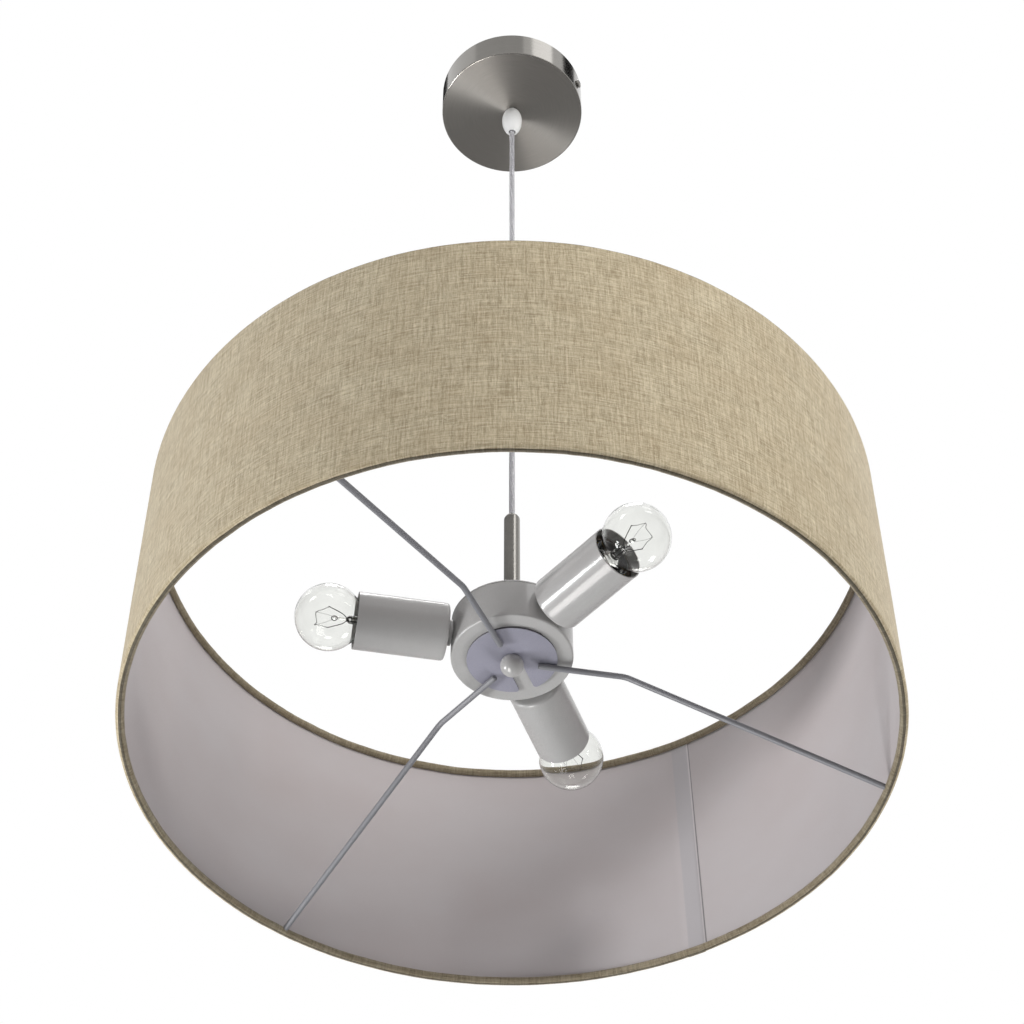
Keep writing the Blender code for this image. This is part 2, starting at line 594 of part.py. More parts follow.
def make_hub(lamp):
    """The hub's cup and the lid on its rim. Heights are from the stem's top."""
    bottom, top = HUB_BOTTOM_Z - STEM_TOP_Z, HUB_TOP_Z - STEM_TOP_Z
    underside = top - LID_THICKNESS
    rim = underside - GAP
    inside = HUB_RADIUS - HUB_WALL
    hole = ROD_RADIUS + GAP
    outline = [(HUB_RADIUS, rim)]
    outline += rounded((HUB_RADIUS, bottom), (HUB_RADIUS, rim), (hole, bottom), HUB_EDGE_RADIUS, 2)
    outline += [(hole, bottom), (hole, bottom + HUB_FLOOR), (inside, bottom + HUB_FLOOR), (inside, rim)]
    cup = turned("hub_cup", outline, "white_paint", HUB_STEPS, lamp)
    lip = inside - GAP
    lip_end = rim - LID_LIP_DEPTH
    outline = [(HUB_RADIUS, underside), (lip, underside), (lip, lip_end), (lip - LID_LIP_WALL, lip_end)]
    outline += [(lip - LID_LIP_WALL, underside), (hole, underside), (hole, top)]
    outline += rounded((HUB_RADIUS, top), (hole, top), (HUB_RADIUS, underside), HUB_EDGE_RADIUS / 2, 1)
    turned("hub_lid", outline, "white_paint", HUB_STEPS, lamp)
    return cup


def make_holder(number, axis, hub_cup):
    """One lampholder arm, along Z of an empty that points outwards."""
    hole = NIPPLE_RADIUS + GAP
    boolean(hub_cup, cylinder(f"hub_hole_{number}", hole, HUB_RADIUS / 2, HUB_RADIUS + OVERRUN, None,
                              SMALL_STEPS, axis))
    head_radius = NIPPLE_HEAD_ACROSS / math.sqrt(3)
    head_end = math.sqrt((HUB_RADIUS - HUB_WALL) ** 2 - head_radius**2) - 2 * GAP
    head_start = head_end - NIPPLE_HEAD_HEIGHT
    shaft_end = LAMPHOLDER_START + NIPPLE_INTO_HOLDER
    nipple = cylinder(f"holder_nipple_{number}", head_radius, head_start, head_end, "zinc_steel", 6, axis)
    shaft = cylinder(f"nipple_shaft_{number}", NIPPLE_RADIUS, head_start + GAP, shaft_end, None, SMALL_STEPS, axis)
    bore = cylinder(f"nipple_bore_{number}", NIPPLE_BORE_RADIUS, head_start - OVERRUN, shaft_end + OVERRUN, None,
                    TINY_STEPS, axis)
    boolean(nipple, shaft, "UNION")
    boolean(nipple, bore)

    collar_start = HUB_RADIUS + GAP
    tube(f"spacer_collar_{number}", COLLAR_RADIUS, hole, collar_start, collar_start + COLLAR_LENGTH, "white_paint",
         SMALL_STEPS, axis)

    start, end = SLEEVE_START, SLEEVE_START + SLEEVE_LENGTH
    inside, floor = SLEEVE_RADIUS - SLEEVE_WALL, SLEEVE_START + SLEEVE_BASE
    outline = [(inside, end), (SLEEVE_RADIUS, end)]
    outline += rounded((SLEEVE_RADIUS, start), (SLEEVE_RADIUS, end), (hole, start), SLEEVE_EDGE_RADIUS, 2)
    outline += [(hole, start), (hole, floor)]
    outline += rounded((inside, floor), (hole, floor), (inside, end), SLEEVE_EDGE_RADIUS - SLEEVE_WALL, 1)
    turned(f"holder_sleeve_{number}", outline, "white_paint", SLEEVE_STEPS, axis)


def make_lampholder(number, axis):
    """The lampholder's body, its screw shell and its centre contact."""
    start, end = LAMPHOLDER_START, LAMPHOLDER_START + LAMPHOLDER_LENGTH
    neck_end = start + LAMPHOLDER_NECK_LENGTH
    shell = SHELL_RADIUS + SHELL_WALL
    well, seat = shell + GAP, NIPPLE_RADIUS + GAP
    seat_end = start + NIPPLE_INTO_HOLDER + GAP
    outline = [(0, seat_end), (seat, seat_end), (seat, start), (LAMPHOLDER_NECK_RADIUS, start)]
    outline += [(LAMPHOLDER_NECK_RADIUS, neck_end), (LAMPHOLDER_RADIUS, neck_end + LAMPHOLDER_SHOULDER)]
    outline += [(LAMPHOLDER_RADIUS, end), (well, end), (well, FLOOR_AT), (0, FLOOR_AT)]
    turned(f"lampholder_{number}", outline, "black_phenolic", BULB_STEPS, axis)
    shell_start = FLOOR_AT + SHELL_START
    tube(f"socket_shell_{number}", shell, SHELL_RADIUS, shell_start, shell_start + SHELL_LENGTH, "brass",
         BULB_STEPS, axis)
    cylinder(f"socket_contact_{number}", SOCKET_CONTACT_RADIUS, FLOOR_AT + GAP, SOCKET_CONTACT_END, "brass",
             TINY_STEPS, axis)


def make_bulb(number, axis):
    """A clear golf-ball bulb: contact button, screw cap, globe, and the glass stem with its filament."""
    end = BUTTON_START + BUTTON_HEIGHT
    outline = [(0, BUTTON_START), (BUTTON_RADIUS / 2, BUTTON_START), (BUTTON_RADIUS, BUTTON_START + BUTTON_HEIGHT / 2)]
    outline += [(BUTTON_RADIUS, end), (0, end)]
    turned(f"bulb_contact_{number}", outline, "zinc_steel", TINY_STEPS, axis)

    floor, inside = CAP_START + CAP_FLOOR, CAP_RADIUS - CAP_WALL
    outline = [(0, CAP_START), (CAP_END_RADIUS, CAP_START), (CAP_RADIUS, CAP_START + CAP_CONE), (CAP_RADIUS, CAP_END)]
    outline += [(inside, CAP_END), (inside, floor), (0, floor)]
    turned(f"bulb_cap_{number}", outline, "zinc_steel", BULB_STEPS, axis)

    neck = inside - GAP
    outer = globe_outline(neck, GLOBE_RADIUS, NECK_BLEND_RADIUS)
    inner = globe_outline(neck - GLASS_WALL, GLOBE_RADIUS - GLASS_WALL, NECK_BLEND_RADIUS - GLASS_WALL)
    turned(f"bulb_glass_{number}", outer[::-1] + inner, "clear_glass", BULB_STEPS, axis)
    make_mount(number, axis, neck - GLASS_WALL - GAP)


def globe_outline(neck, globe, blend):
    """From the neck's rim, which sits in the cap, to the globe's tip."""
    start = math.asin(blend / globe)
    joint = (blend, GLOBE_CENTRE - globe * math.cos(start))
    corner = (neck, joint[1] - (blend - neck) * math.tan(start))
    points = [(neck, CAP_END - NECK_INSERT)] + blended((neck, CAP_END + NECK_STRAIGHT), corner, joint, 2)
    for angle_cosine, angle_sine in arc(0, 0, globe, start, math.pi, 7)[1:-1]:
        points.append((angle_sine, GLOBE_CENTRE - angle_cosine))
    return points + [(0, GLOBE_CENTRE + globe)]


def make_mount(number, axis, flare):
    """The glass stem on its flare, with the support rod, and the wires that carry the filament."""
    base = CAP_END - NECK_INSERT + GAP
    shoulder = base + FLARE_HEIGHT
    pinch = shoulder + STEM_GLASS_LENGTH
    top = pinch + SUPPORT_LENGTH
    outline = [(0, base), (flare, base), (STEM_GLASS_RADIUS, shoulder), (STEM_GLASS_TIP_RADIUS, pinch)]
    outline += [(SUPPORT_RADIUS, pinch), (SUPPORT_RADIUS, top), (0, top)]
    stem = turned(f"bulb_mount_{number}", outline, "glass_mount", TINY_STEPS, axis)
    right = [(FILAMENT_SAG, FILAMENT_CORNER, top + FILAMENT_RISE), (0, FILAMENT_SPAN, top)]
    right += [(0, FILAMENT_SPAN / 2, pinch + FILAMENT_SAG), (0, FILAMENT_ROOT, pinch - FILAMENT_ROOT)]
    left = [(x, -y, z) for x, y, z in right[::-1]]
    turn = Matrix.Rotation(FILAMENT_ANGLES[number - 1], 3, "Z")
    path = [turn @ Vector(point) for point in left + right]
    boolean(stem, as_mesh(wire(f"filament_{number}", path, FILAMENT_RADIUS, WIRE_SIDES, None, axis)), "UNION")


def hem(level, upwards, offset):
    """The turn of the cover round one ring, from its lip to the shade's wall."""
    turn = arc(RING_RADIUS, 0, offset, HEM_WRAP, 0, 5)
    return [(radius, level + upwards * height) for radius, height in turn]


def make_cover(carrier, notches):
    """The cover, rolled round both rings, the lining inside it, and the rings. Heights are from the lower rim."""
    low, high = RING_LEVEL, SHADE_HEIGHT - RING_LEVEL
    outline = hem(high, 1, HEM_OUTSIDE) + hem(low, -1, HEM_OUTSIDE)[::-1]
    outline += hem(low, -1, HEM_INSIDE) + hem(high, 1, HEM_INSIDE)[::-1]
    cover = turned("shade_cover", outline, "linen", SHADE_STEPS, carrier)
    for notch in notches:
        boolean(cover, notch)
    outside = SHADE_RADIUS - FABRIC_THICKNESS - GAP
    bottom = low + RING_WIRE_RADIUS + GAP
    tube("shade_lining", outside, outside - LINING_THICKNESS, bottom, SHADE_HEIGHT - bottom, "white_lining",
         SHADE_STEPS, carrier)
    for name, level in (("shade_ring_lower", low), ("shade_ring_upper", high)):
        bpy.ops.mesh.primitive_torus_add(
            major_radius=RING_RADIUS, minor_radius=RING_WIRE_RADIUS, major_segments=SHADE_STEPS,
            minor_segments=WIRE_SIDES
        )
        torus = bpy.context.active_object
        mesh = torus.data
        mesh.name = name
        bpy.data.objects.remove(torus)
        shade(mesh)
        add(name, mesh, "zinc_steel", carrier, level)


def make_carrier(carrier):
    """The slotted plate and its three cranked rods. Heights are from the shade's lower rim."""
    half = SLOT_RADIUS + SLOT_CORNER_RADIUS
    corner_x = math.sqrt((PLATE_RADIUS - SLOT_CORNER_RADIUS) ** 2 - half**2)
    corner = math.atan2(half, corner_x)
    outline = arc(0, 0, SLOT_RADIUS, math.pi * 3 / 2, math.pi / 2, 8)
    outline += arc(corner_x, half, SLOT_CORNER_RADIUS, -math.pi / 2, corner, 3)
    outline += arc(0, 0, PLATE_RADIUS, corner, TURN - corner, 32)[1:-1]
    outline += arc(corner_x, -half, SLOT_CORNER_RADIUS, -corner, math.pi / 2, 3)
    middle = PLATE_BOTTOM_Z + PLATE_THICKNESS / 2 - RIM_Z
    plate = flat("spider_plate", outline, PLATE_THICKNESS, "white_paint", carrier, middle)
    plate.rotation_euler.z = SLOT_ANGLE

    level = ARM_Z - RIM_Z
    bend, ring = Vector((ARM_BEND, level)), Vector((RING_RADIUS, RING_LEVEL))
    slope = (ring - bend).normalized()
    end = ring - slope * (RING_WIRE_RADIUS + RING_SAG + GAP)
    path = [(ARM_START, level), *rounded(bend, (ARM_START, level), end, ARM_BEND_RADIUS, 4), end]
    notch_start, notch_end = end - slope * (3 * HEM_OUTSIDE), end + slope * ARM_NOTCH_PLAY
    notches = []
    for number, angle in enumerate(ARM_ANGLES, 1):
        rod = wire(f"spider_arm_{number}", [(x, 0, z) for x, z in path], ARM_RADIUS, ROD_SIDES, "white_paint", carrier)
        rod.rotation_euler.z = angle
        ends = [(x, 0, z) for x, z in (notch_start, notch_end)]
        notch = as_mesh(wire(f"hem_notch_{number}", ends, ARM_RADIUS + ARM_NOTCH_PLAY, ROD_SIDES, None, carrier))
        notch.rotation_euler.z = angle
        notches.append(notch)
    return notches


def make_finial(axis):
    """The ball nut, with a flat seat and a blind thread. Heights are from the ball's centre."""
    seat, bore = FINIAL_SEAT_HEIGHT, ROD_RADIUS + GAP
    outline = [(0, seat - FINIAL_BORE_DEPTH), (bore, seat - FINIAL_BORE_DEPTH), (bore, seat)]
    start = math.asin(seat / FINIAL_RADIUS)
    outline += arc(0, 0, FINIAL_RADIUS, start, -math.pi / 2, 7)[:-1] + [(0, -FINIAL_RADIUS)]
    turned("finial_nut", outline, "white_paint", BULB_STEPS, axis)


def build():
    make_finishes()
    root = axis_empty("canopy_axis")
    bracket_axis = axis_empty("bracket_axis", root, rotation=(0, 0, BRACKET_ANGLE))
    strip = make_bracket(bracket_axis)
    make_canopy(root, bracket_axis, strip)
    make_terminals(bracket_axis)
    make_grip(root)
    swing_x = axis_empty("swing_x_axis", root, UPPER_PIVOT_Z)
    swing_y = axis_empty("swing_y_axis", swing_x, LOWER_PIVOT_Z - UPPER_PIVOT_Z)
    lamp = axis_empty("lamp_turn_axis", swing_y, STEM_TOP_Z - LOWER_PIVOT_Z)
    make_cord(root, swing_x, swing_y, lamp)
    make_stem(lamp)
    hub_cup = make_hub(lamp)
    for index in range(HOLDER_COUNT):
        angle = HOLDER_START_ANGLE + TURN * index / HOLDER_COUNT
        number = index + 1
        axis = axis_empty(f"holder_{number}_axis", lamp, HOLDER_Z - STEM_TOP_Z, (0, math.pi / 2, angle))
        make_holder(number, axis, hub_cup)
        make_lampholder(number, axis)
        make_bulb(number, axis)
    carrier = axis_empty("shade_axis", lamp, RIM_Z - STEM_TOP_Z)
    make_cover(carrier, make_carrier(carrier))
    make_finial(axis_empty("finial_axis", carrier, FINIAL_Z - RIM_Z))


clear_scene()
parts = new_collection("pendant_light")
cutters = new_collection("cutters")
cutters.hide_render = True
build()
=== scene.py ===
"""Looks of the pendant light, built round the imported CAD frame. Metres, +Z up, the ceiling at Z = 0."""

import math

import bmesh
import bpy
import numpy as np
from mathutils import Matrix, Vector, noise


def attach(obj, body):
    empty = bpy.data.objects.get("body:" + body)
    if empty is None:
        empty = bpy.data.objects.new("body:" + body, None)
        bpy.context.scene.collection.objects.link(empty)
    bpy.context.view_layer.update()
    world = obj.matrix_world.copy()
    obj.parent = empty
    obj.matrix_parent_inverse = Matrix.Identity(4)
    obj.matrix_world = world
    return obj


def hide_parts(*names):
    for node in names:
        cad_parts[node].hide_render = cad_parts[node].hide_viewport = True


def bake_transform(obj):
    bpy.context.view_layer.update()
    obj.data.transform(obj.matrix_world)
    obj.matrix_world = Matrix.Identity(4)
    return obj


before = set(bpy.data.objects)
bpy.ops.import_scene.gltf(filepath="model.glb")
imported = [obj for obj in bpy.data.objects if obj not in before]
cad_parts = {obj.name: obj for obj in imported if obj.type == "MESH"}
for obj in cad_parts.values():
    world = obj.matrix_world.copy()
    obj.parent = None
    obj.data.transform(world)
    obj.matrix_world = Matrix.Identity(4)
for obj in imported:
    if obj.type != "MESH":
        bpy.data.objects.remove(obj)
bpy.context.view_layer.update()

MM = 0.001
TURN = 2 * math.pi
GAP = 0.3 * MM  # between pieces that touch in the real light

# Levels
FACE_Z = -29 * MM
GRIP_TOP_Z = FACE_Z - GAP
MOUTH_Z = GRIP_TOP_Z - 28.9 * MM
STEM_TOP_Z = MOUTH_Z - 490.5 * MM
HUB_TOP_Z = STEM_TOP_Z - 103.5 * MM
HUB_BOTTOM_Z = HUB_TOP_Z - 33 * MM
HOLDER_Z = HUB_BOTTOM_Z + 16.5 * MM
PLATE_BOTTOM_Z = HUB_BOTTOM_Z - GAP - 1.5 * MM
ARM_Z = PLATE_BOTTOM_Z - GAP - 2 * MM
FINIAL_Z = PLATE_BOTTOM_Z - GAP - 4.3 * MM
RIM_Z = HUB_BOTTOM_Z - 78.1 * MM

# Sizes
CANOPY_RADIUS = 60 * MM
CORD_RADIUS = 2.1 * MM
HUB_RADIUS = 40.5 * MM
HUB_SHEET = 1.5 * MM
ROD_BORE = 4.3 * MM  # round the M8 rod
NIPPLE_BORE = 5.3 * MM  # round an M10 thread
THREAD_PITCH = 3.629 * MM  # E27
BULB_CENTRE = 122.4 * MM  # the globe's centre, from the hub's axis
SHADE_RADIUS = 250 * MM
SHADE_HEIGHT = 200 * MM
HEM_OUTSIDE = 2.85 * MM
RING_RADIUS = SHADE_RADIUS - HEM_OUTSIDE

# Directions
HOLDER_ANGLES = [math.radians(70.4 + 120 * index) for index in range(3)]
FILAMENT_ANGLES = [math.radians(angle) for angle in (20, 265, 118)]
ARM_ANGLES = [math.radians(angle) for angle in (10, 129.5, 246)]
BRACKET_ANGLE = math.radians(-20)
SEAM_ANGLE = math.radians(57.4)  # the lap in the cover and its lining

# Colours
# NICKEL is darker than bare nickel: painted shade standing in for the dim room its reflections show
NICKEL = (0.27, 0.258, 0.24)
LINEN = ((0.33, 0.262, 0.163), (0.70, 0.612, 0.437))
LINING = (0.478, 0.446, 0.45)

LOOKS = {}  # the materials by name


def make_camera():
    data = bpy.data.cameras.new("camera")
    data.sensor_width = 36
    data.lens = 83.67
    data.clip_end = 50
    camera = bpy.data.objects.new("camera", data)
    camera.location = (0, -1.12005, -1.78205)
    camera.rotation_euler = (math.radians(137.925), 0, 0)
    bpy.context.scene.collection.objects.link(camera)
    bpy.context.scene.camera = camera


# Meshes


def show(name, mesh, *materials):
    obj = bpy.data.objects.new(name, mesh)
    bpy.context.scene.collection.objects.link(obj)
    mesh.name = name
    for material in materials:
        mesh.materials.append(material)
    return obj


def add(name, mesh, finishes, body=None, node=None):
    """A piece of the light. It rides on its body, and with a node it stands for that CAD solid."""
    finishes = finishes.split()
    obj = show(name, mesh, *(LOOKS[finish] for finish in finishes))
    if body:
        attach(obj, body)
    if node:
        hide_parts(node)
    return obj


def finished(mesh, sharp=35, matrix=None):
    """A mesh put in place and shaded smooth, except at edges sharper than this many degrees."""
    if matrix is not None:
        mesh.transform(matrix)
    mesh.shade_smooth()
    mesh.set_sharp_from_angle(angle=math.radians(sharp))
    return mesh


def outwards(mesh, rework=None):
    """A mesh with its normals turned outwards, after any rework of its faces."""
    bm = bmesh.new()
    bm.from_mesh(mesh)
    if rework:
        rework(bm)
    bmesh.ops.recalc_face_normals(bm, faces=bm.faces)
    bm.to_mesh(mesh)
    bm.free()
    return mesh


def weld(bm):
    bmesh.ops.remove_doubles(bm, verts=bm.verts, dist=1e-7)
    bmesh.ops.dissolve_degenerate(bm, edges=bm.edges, dist=1e-8)


def fill_ends(bm):
    bmesh.ops.holes_fill(bm, edges=[edge for edge in bm.edges if edge.is_boundary])


def grid_mesh(points, round_it=True, closed=False, uvs=None, indices=None):
    """A mesh from rows of points. Rows join end to end when round_it is set, and points in a row when closed is."""
    rows, count = len(points), len(points[0])
    flat = np.asarray(points, float).reshape(-1, 3)
    faces, face_uvs, face_slots = [], [], []
    for i in range(rows if round_it else rows - 1):
        for j in range(count if closed else count - 1):
            i2, j2 = (i + 1) % rows, (j + 1) % count
            faces.append((i * count + j, i2 * count + j, i2 * count + j2, i * count + j2))
            if uvs:
                u, v = uvs
                face_uvs += [(u[i], v[j]), (u[i + 1], v[j]), (u[i + 1], v[j + 1]), (u[i], v[j + 1])]
            if indices:
                face_slots.append(indices[j])
    mesh = bpy.data.meshes.new("grid")
    mesh.from_pydata(flat.tolist(), [], faces)
    if uvs:
        layer = mesh.uv_layers.new(name="cloth")
        layer.data.foreach_set("uv", np.asarray(face_uvs, np.float32).ravel())
    if indices:
        mesh.polygons.foreach_set("material_index", face_slots)
    return mesh


def turned(outline, steps, matrix=None, sharp=35, indices=None):
    """A closed outline of (radius, height) points, or of corners with a rounding too, turned about Z."""
    if len(outline[0]) == 3:
        outline = outlined(outline)
    rows = []
    for step in range(steps):
        angle = TURN * step / steps
        c, s = math.cos(angle), math.sin(angle)
        rows.append([(radius * c, radius * s, height) for radius, height in outline])
    mesh = grid_mesh(rows, closed=outline[0][0] > 0, indices=indices)
    return finished(outwards(mesh, weld), sharp, matrix)


def swept(points, radius, sides, matrix=None):
    """A round tube along points, with its ends filled. It has one radius, or a list of them."""
    points = [Vector(point) for point in points]
    radii = radius if isinstance(radius, list) else [radius] * len(points)
    normal = None
    rows = []
    for index, (point, size) in enumerate(zip(points, radii)):
        ahead = points[min(index + 1, len(points) - 1)] - points[max(index - 1, 0)]
        ahead.normalize()
        if normal is None:
            normal = ahead.orthogonal().normalized()
        normal = (normal - ahead * normal.dot(ahead)).normalized()
        across = ahead.cross(normal)
        ring = []
        for side in range(sides):
            angle = TURN * side / sides
            ring.append(point + (normal * math.cos(angle) + across * math.sin(angle)) * size)
        rows.append(ring)
    mesh = grid_mesh(rows, round_it=False, closed=True)
    return finished(outwards(mesh, fill_ends), 50, matrix)


def joined(meshes, sharp):
    """Several meshes as one."""
    bm = bmesh.new()
    for mesh in meshes:
        bm.from_mesh(mesh)
        bpy.data.meshes.remove(mesh)
    mesh = bpy.data.meshes.new("joined")
    bm.to_mesh(mesh)
    bm.free()
    return finished(mesh, sharp)


def in_mm(*points):
    return [tuple(value * MM for value in point) for point in points]


def arc(x, y, radius, start, end, steps):
    angles = [start + (end - start) * step / steps for step in range(steps + 1)]
    return [(x + radius * math.cos(angle), y + radius * math.sin(angle)) for angle in angles]


def bent(start, corner, end, steps):
    """A curve from start to end that the corner pulls."""
    curve = []
    for t in (step / steps for step in range(steps + 1)):
        curve.append(tuple(a * (1 - t) ** 2 + b * 2 * t * (1 - t) + c * t * t
                           for a, b, c in zip(start, corner, end)))
    return curve


def rounded(corner, before, after, radius, steps=4):
    """Points that round a corner between its neighbours in an outline."""
    corner, before, after = (Vector(point) for point in (corner, before, after))
    back, ahead = (before - corner).normalized(), (after - corner).normalized()
    half = back.angle(ahead) / 2
    centre = corner + (back + ahead).normalized() * radius / math.sin(half)
    reach = radius / math.tan(half)
    start, end = corner + back * reach - centre, corner + ahead * reach - centre
    angle = math.atan2(start.y, start.x)
    sweep = math.remainder(math.atan2(end.y, end.x) - angle, TURN)
    return arc(centre.x, centre.y, radius, angle, angle + sweep, steps)


def outlined(corners):
    """An outline from (radius, height, rounding) corners. A point beside each rounding keeps the shading flat there."""
    points = []
    for index, (x, y, size) in enumerate(corners):
        before, after = corners[index - 1], corners[(index + 1) % len(corners)]
        if not size:
            points.append((x, y))
            continue
        turn = rounded((x, y), before[:2], after[:2], size)
        for first, neighbour in ((True, before), (False, after)):
            end = Vector(turn[0] if first else turn[-1])
            flat = Vector(neighbour[:2]) - end
            if flat.length > 2 * size + 1.5 * neighbour[2]:
                turn.insert(0 if first else len(turn), tuple(end + flat.normalized() * 0.6 * size))
        points += turn
    return points


def smooth_path(points, steps):
    """A Catmull-Rom curve through the points."""
    points = [Vector(point) for point in points]
    ends = [points[0] * 2 - points[1], *points, points[-1] * 2 - points[-2]]
    path = []
    for index in range(1, len(ends) - 2):
        a, b, c, d = ends[index - 1:index + 3]
        for step in range(steps):
            t = step / steps
            path.append(0.5 * (2 * b + (c - a) * t + (2 * a - 5 * b + 4 * c - d) * t * t
                               + (3 * b - a - 3 * c + d) * t ** 3))
    return path + [points[-1]]


# Materials


class Look:
    """A material's nodes, ending in its Principled shader."""

    def __init__(self, name, colour, roughness, metallic=0.0, **sockets):
        self.material = bpy.data.materials.new(name)
        self.material.use_nodes = True
        self.tree = self.material.node_tree
        self.shader = self.tree.nodes["Principled BSDF"]
        self.shader.inputs["Base Color"].default_value = (*colour, 1)
        self.shader.inputs["Roughness"].default_value = roughness
        self.shader.inputs["Metallic"].default_value = metallic
        for socket, value in sockets.items():
            self.shader.inputs[socket.replace("_", " ")].default_value = value

    def feed(self, socket, value):
        if isinstance(value, bpy.types.NodeSocket):
            self.tree.links.new(value, socket)
        else:
            socket.default_value = value

    def node(self, kind, inputs=None, **settings):
        node = self.tree.nodes.new(kind)
        for key, value in settings.items():
            setattr(node, key, value)
        for key, value in (inputs or {}).items():
            self.feed(node.inputs[key], value)
        return node

    def place(self, scale=(1, 1, 1), uv=None):
        if uv:
            source = self.node("ShaderNodeUVMap", uv_map=uv).outputs["UV"]
        else:
            source = self.node("ShaderNodeTexCoord").outputs["Object"]
        return self.node("ShaderNodeMapping", {"Vector": source, "Scale": scale}).outputs[0]

    def noise(self, vector, scale=1.0, detail=3.0, roughness=0.5):
        return self.node("ShaderNodeTexNoise", {"Vector": vector, "Scale": scale, "Detail": detail,
                                                "Roughness": roughness}).outputs[0]

    def fit(self, value, low, high, to_low=0.0, to_high=1.0):
        return self.node("ShaderNodeMapRange", {"Value": value, "From Min": low, "From Max": high,
                                                "To Min": to_low, "To Max": to_high}).outputs[0]

    def maths(self, operation, a, b=0.0):
        return self.node("ShaderNodeMath", {0: a, 1: b}, operation=operation).outputs[0]

    def mix(self, factor, a, b, blend="MIX"):
        node = self.node("ShaderNodeMix", data_type="RGBA", blend_type=blend)
        self.feed(node.inputs[0], factor)
        for socket, value in ((node.inputs[6], a), (node.inputs[7], b)):
            self.feed(socket, value if isinstance(value, bpy.types.NodeSocket) else (*value, 1))
        return node.outputs[2]

    def turn_round_z(self):
        """Stretch reflections round the Z axis, as a lathe's marks do."""
        tangent = self.node("ShaderNodeTangent", direction_type="RADIAL", axis="Z")
        self.feed(self.shader.inputs["Tangent"], tangent.outputs[0])

    def bump(self, height, distance, strength):
        node = self.node("ShaderNodeBump", {"Height": height, "Distance": distance, "Strength": strength})
        self.tree.links.new(node.outputs[0], self.shader.inputs["Normal"])

    def colour(self, value):
        self.feed(self.shader.inputs["Base Color"], value)

    def roughness(self, value):
        self.feed(self.shader.inputs["Roughness"], value)


def toned(colour, *factors):
    """A colour times one factor, or times one for each channel."""
    return [min(1, part * factor) for part, factor in zip(colour, factors * (3 // len(factors)))]


def brushed_nickel():
    """The canopy's face, brushed in circles."""
    look = Look("brushed_nickel", NICKEL, 0.41, 1.0, Anisotropic=0.84, Anisotropic_Rotation=0.25)
    look.turn_round_z()
    x, y = look.node("ShaderNodeSeparateXYZ", {0: look.node("ShaderNodeTexCoord").outputs["Object"]}).outputs[:2]
    angle = look.maths("ARCTAN2", y, x)
    radius = look.maths("SQRT", look.maths("ADD", look.maths("MULTIPLY", x, x), look.maths("MULTIPLY", y, y)))

    def rings(a_metre, a_radian, detail, roughness):
        place = {0: look.maths("MULTIPLY", radius, a_metre), 1: look.maths("MULTIPLY", angle, a_radian)}
        return look.noise(look.node("ShaderNodeCombineXYZ", place).outputs[0], 1, detail, roughness)

    lines, broad = rings(3200, 2.2, 4, 0.7), rings(90, 1, 2, 0.5)
    look.colour(look.mix(look.fit(lines, 0.3, 0.7), toned(NICKEL, 0.9), toned(NICKEL, 1.08)))
    look.roughness(look.fit(look.maths("ADD", lines, look.maths("MULTIPLY", broad, 0.6)), 0.5, 1.1, 0.38, 0.45))
    look.bump(lines, 0.02 * MM, 0.5)
    return look.material


def satin_nickel(name="satin_nickel", rough=(0.17, 0.26), anisotropic=0.4):
    """Polished nickel with a faint turned grain and finger smears."""
    look = Look(name, NICKEL, 0.2, 1.0, Anisotropic=anisotropic)
    look.turn_round_z()
    grain = look.noise(look.place((60, 60, 2600)), 1, 3, 0.6)
    smear = look.noise(look.place((45, 45, 30)), 1, 3, 0.6)
    look.colour(look.mix(look.fit(grain, 0.3, 0.7), toned(NICKEL, 0.93), toned(NICKEL, 1.05)))
    look.roughness(look.fit(smear, 0.3, 0.75, *rough))
    look.bump(grain, 0.008 * MM, 0.4)
    return look.material


def zinc(name="zinc_steel", tone=1.0, rough=(0.26, 0.46)):
    """Zinc-plated steel, patchy and faintly drawn."""
    look = Look(name, toned((0.55, 0.56, 0.58), tone), 0.35, 1.0)
    patches = look.noise(look.place(), 260, 4, 0.65)
    streaks = look.noise(look.place((90, 90, 900)), 1, 3)
    look.colour(look.mix(look.fit(patches, 0.3, 0.7), toned((0.46, 0.47, 0.49), tone), toned((0.62, 0.63, 0.65), tone)))
    look.roughness(look.fit(look.maths("ADD", patches, streaks), 0.7, 1.3, *rough))
    look.bump(streaks, 0.01 * MM, 0.5)
    return look.material


def brass():
    """Brass, dulled in patches."""
    look = Look("brass", (0.62, 0.45, 0.20), 0.3, 1.0)
    patches = look.noise(look.place(), 320, 4, 0.6)
    look.colour(look.mix(look.fit(patches, 0.3, 0.7), (0.50, 0.34, 0.13), (0.70, 0.52, 0.25)))
    look.roughness(look.fit(patches, 0.3, 0.7, 0.24, 0.42))
    look.bump(patches, 0.01 * MM, 0.5)
    return look.material


def paint(name, colour, shade, peel_height=0.03 * MM, coat=0.07, rough=(0.22, 0.34)):
    """Powder coat: orange peel, slightly uneven gloss, and a little dust in the broad tone."""
    look = Look(name, colour, 0.3, 0.0, Specular_IOR_Level=0.32, Coat_Weight=0.4, Coat_Roughness=coat)
    peel = look.noise(look.place(), 750, 2, 0.5)
    fine = look.noise(look.place(), 2600, 2, 0.5)
    broad = look.noise(look.place(), 28, 4, 0.6)
    look.colour(look.mix(look.fit(broad, 0.35, 0.7), colour, shade))
    look.roughness(look.fit(look.maths("ADD", broad, fine), 0.7, 1.35, *rough))
    look.bump(look.maths("ADD", peel, look.maths("MULTIPLY", fine, 0.3)), peel_height, 0.5)
    return look.material


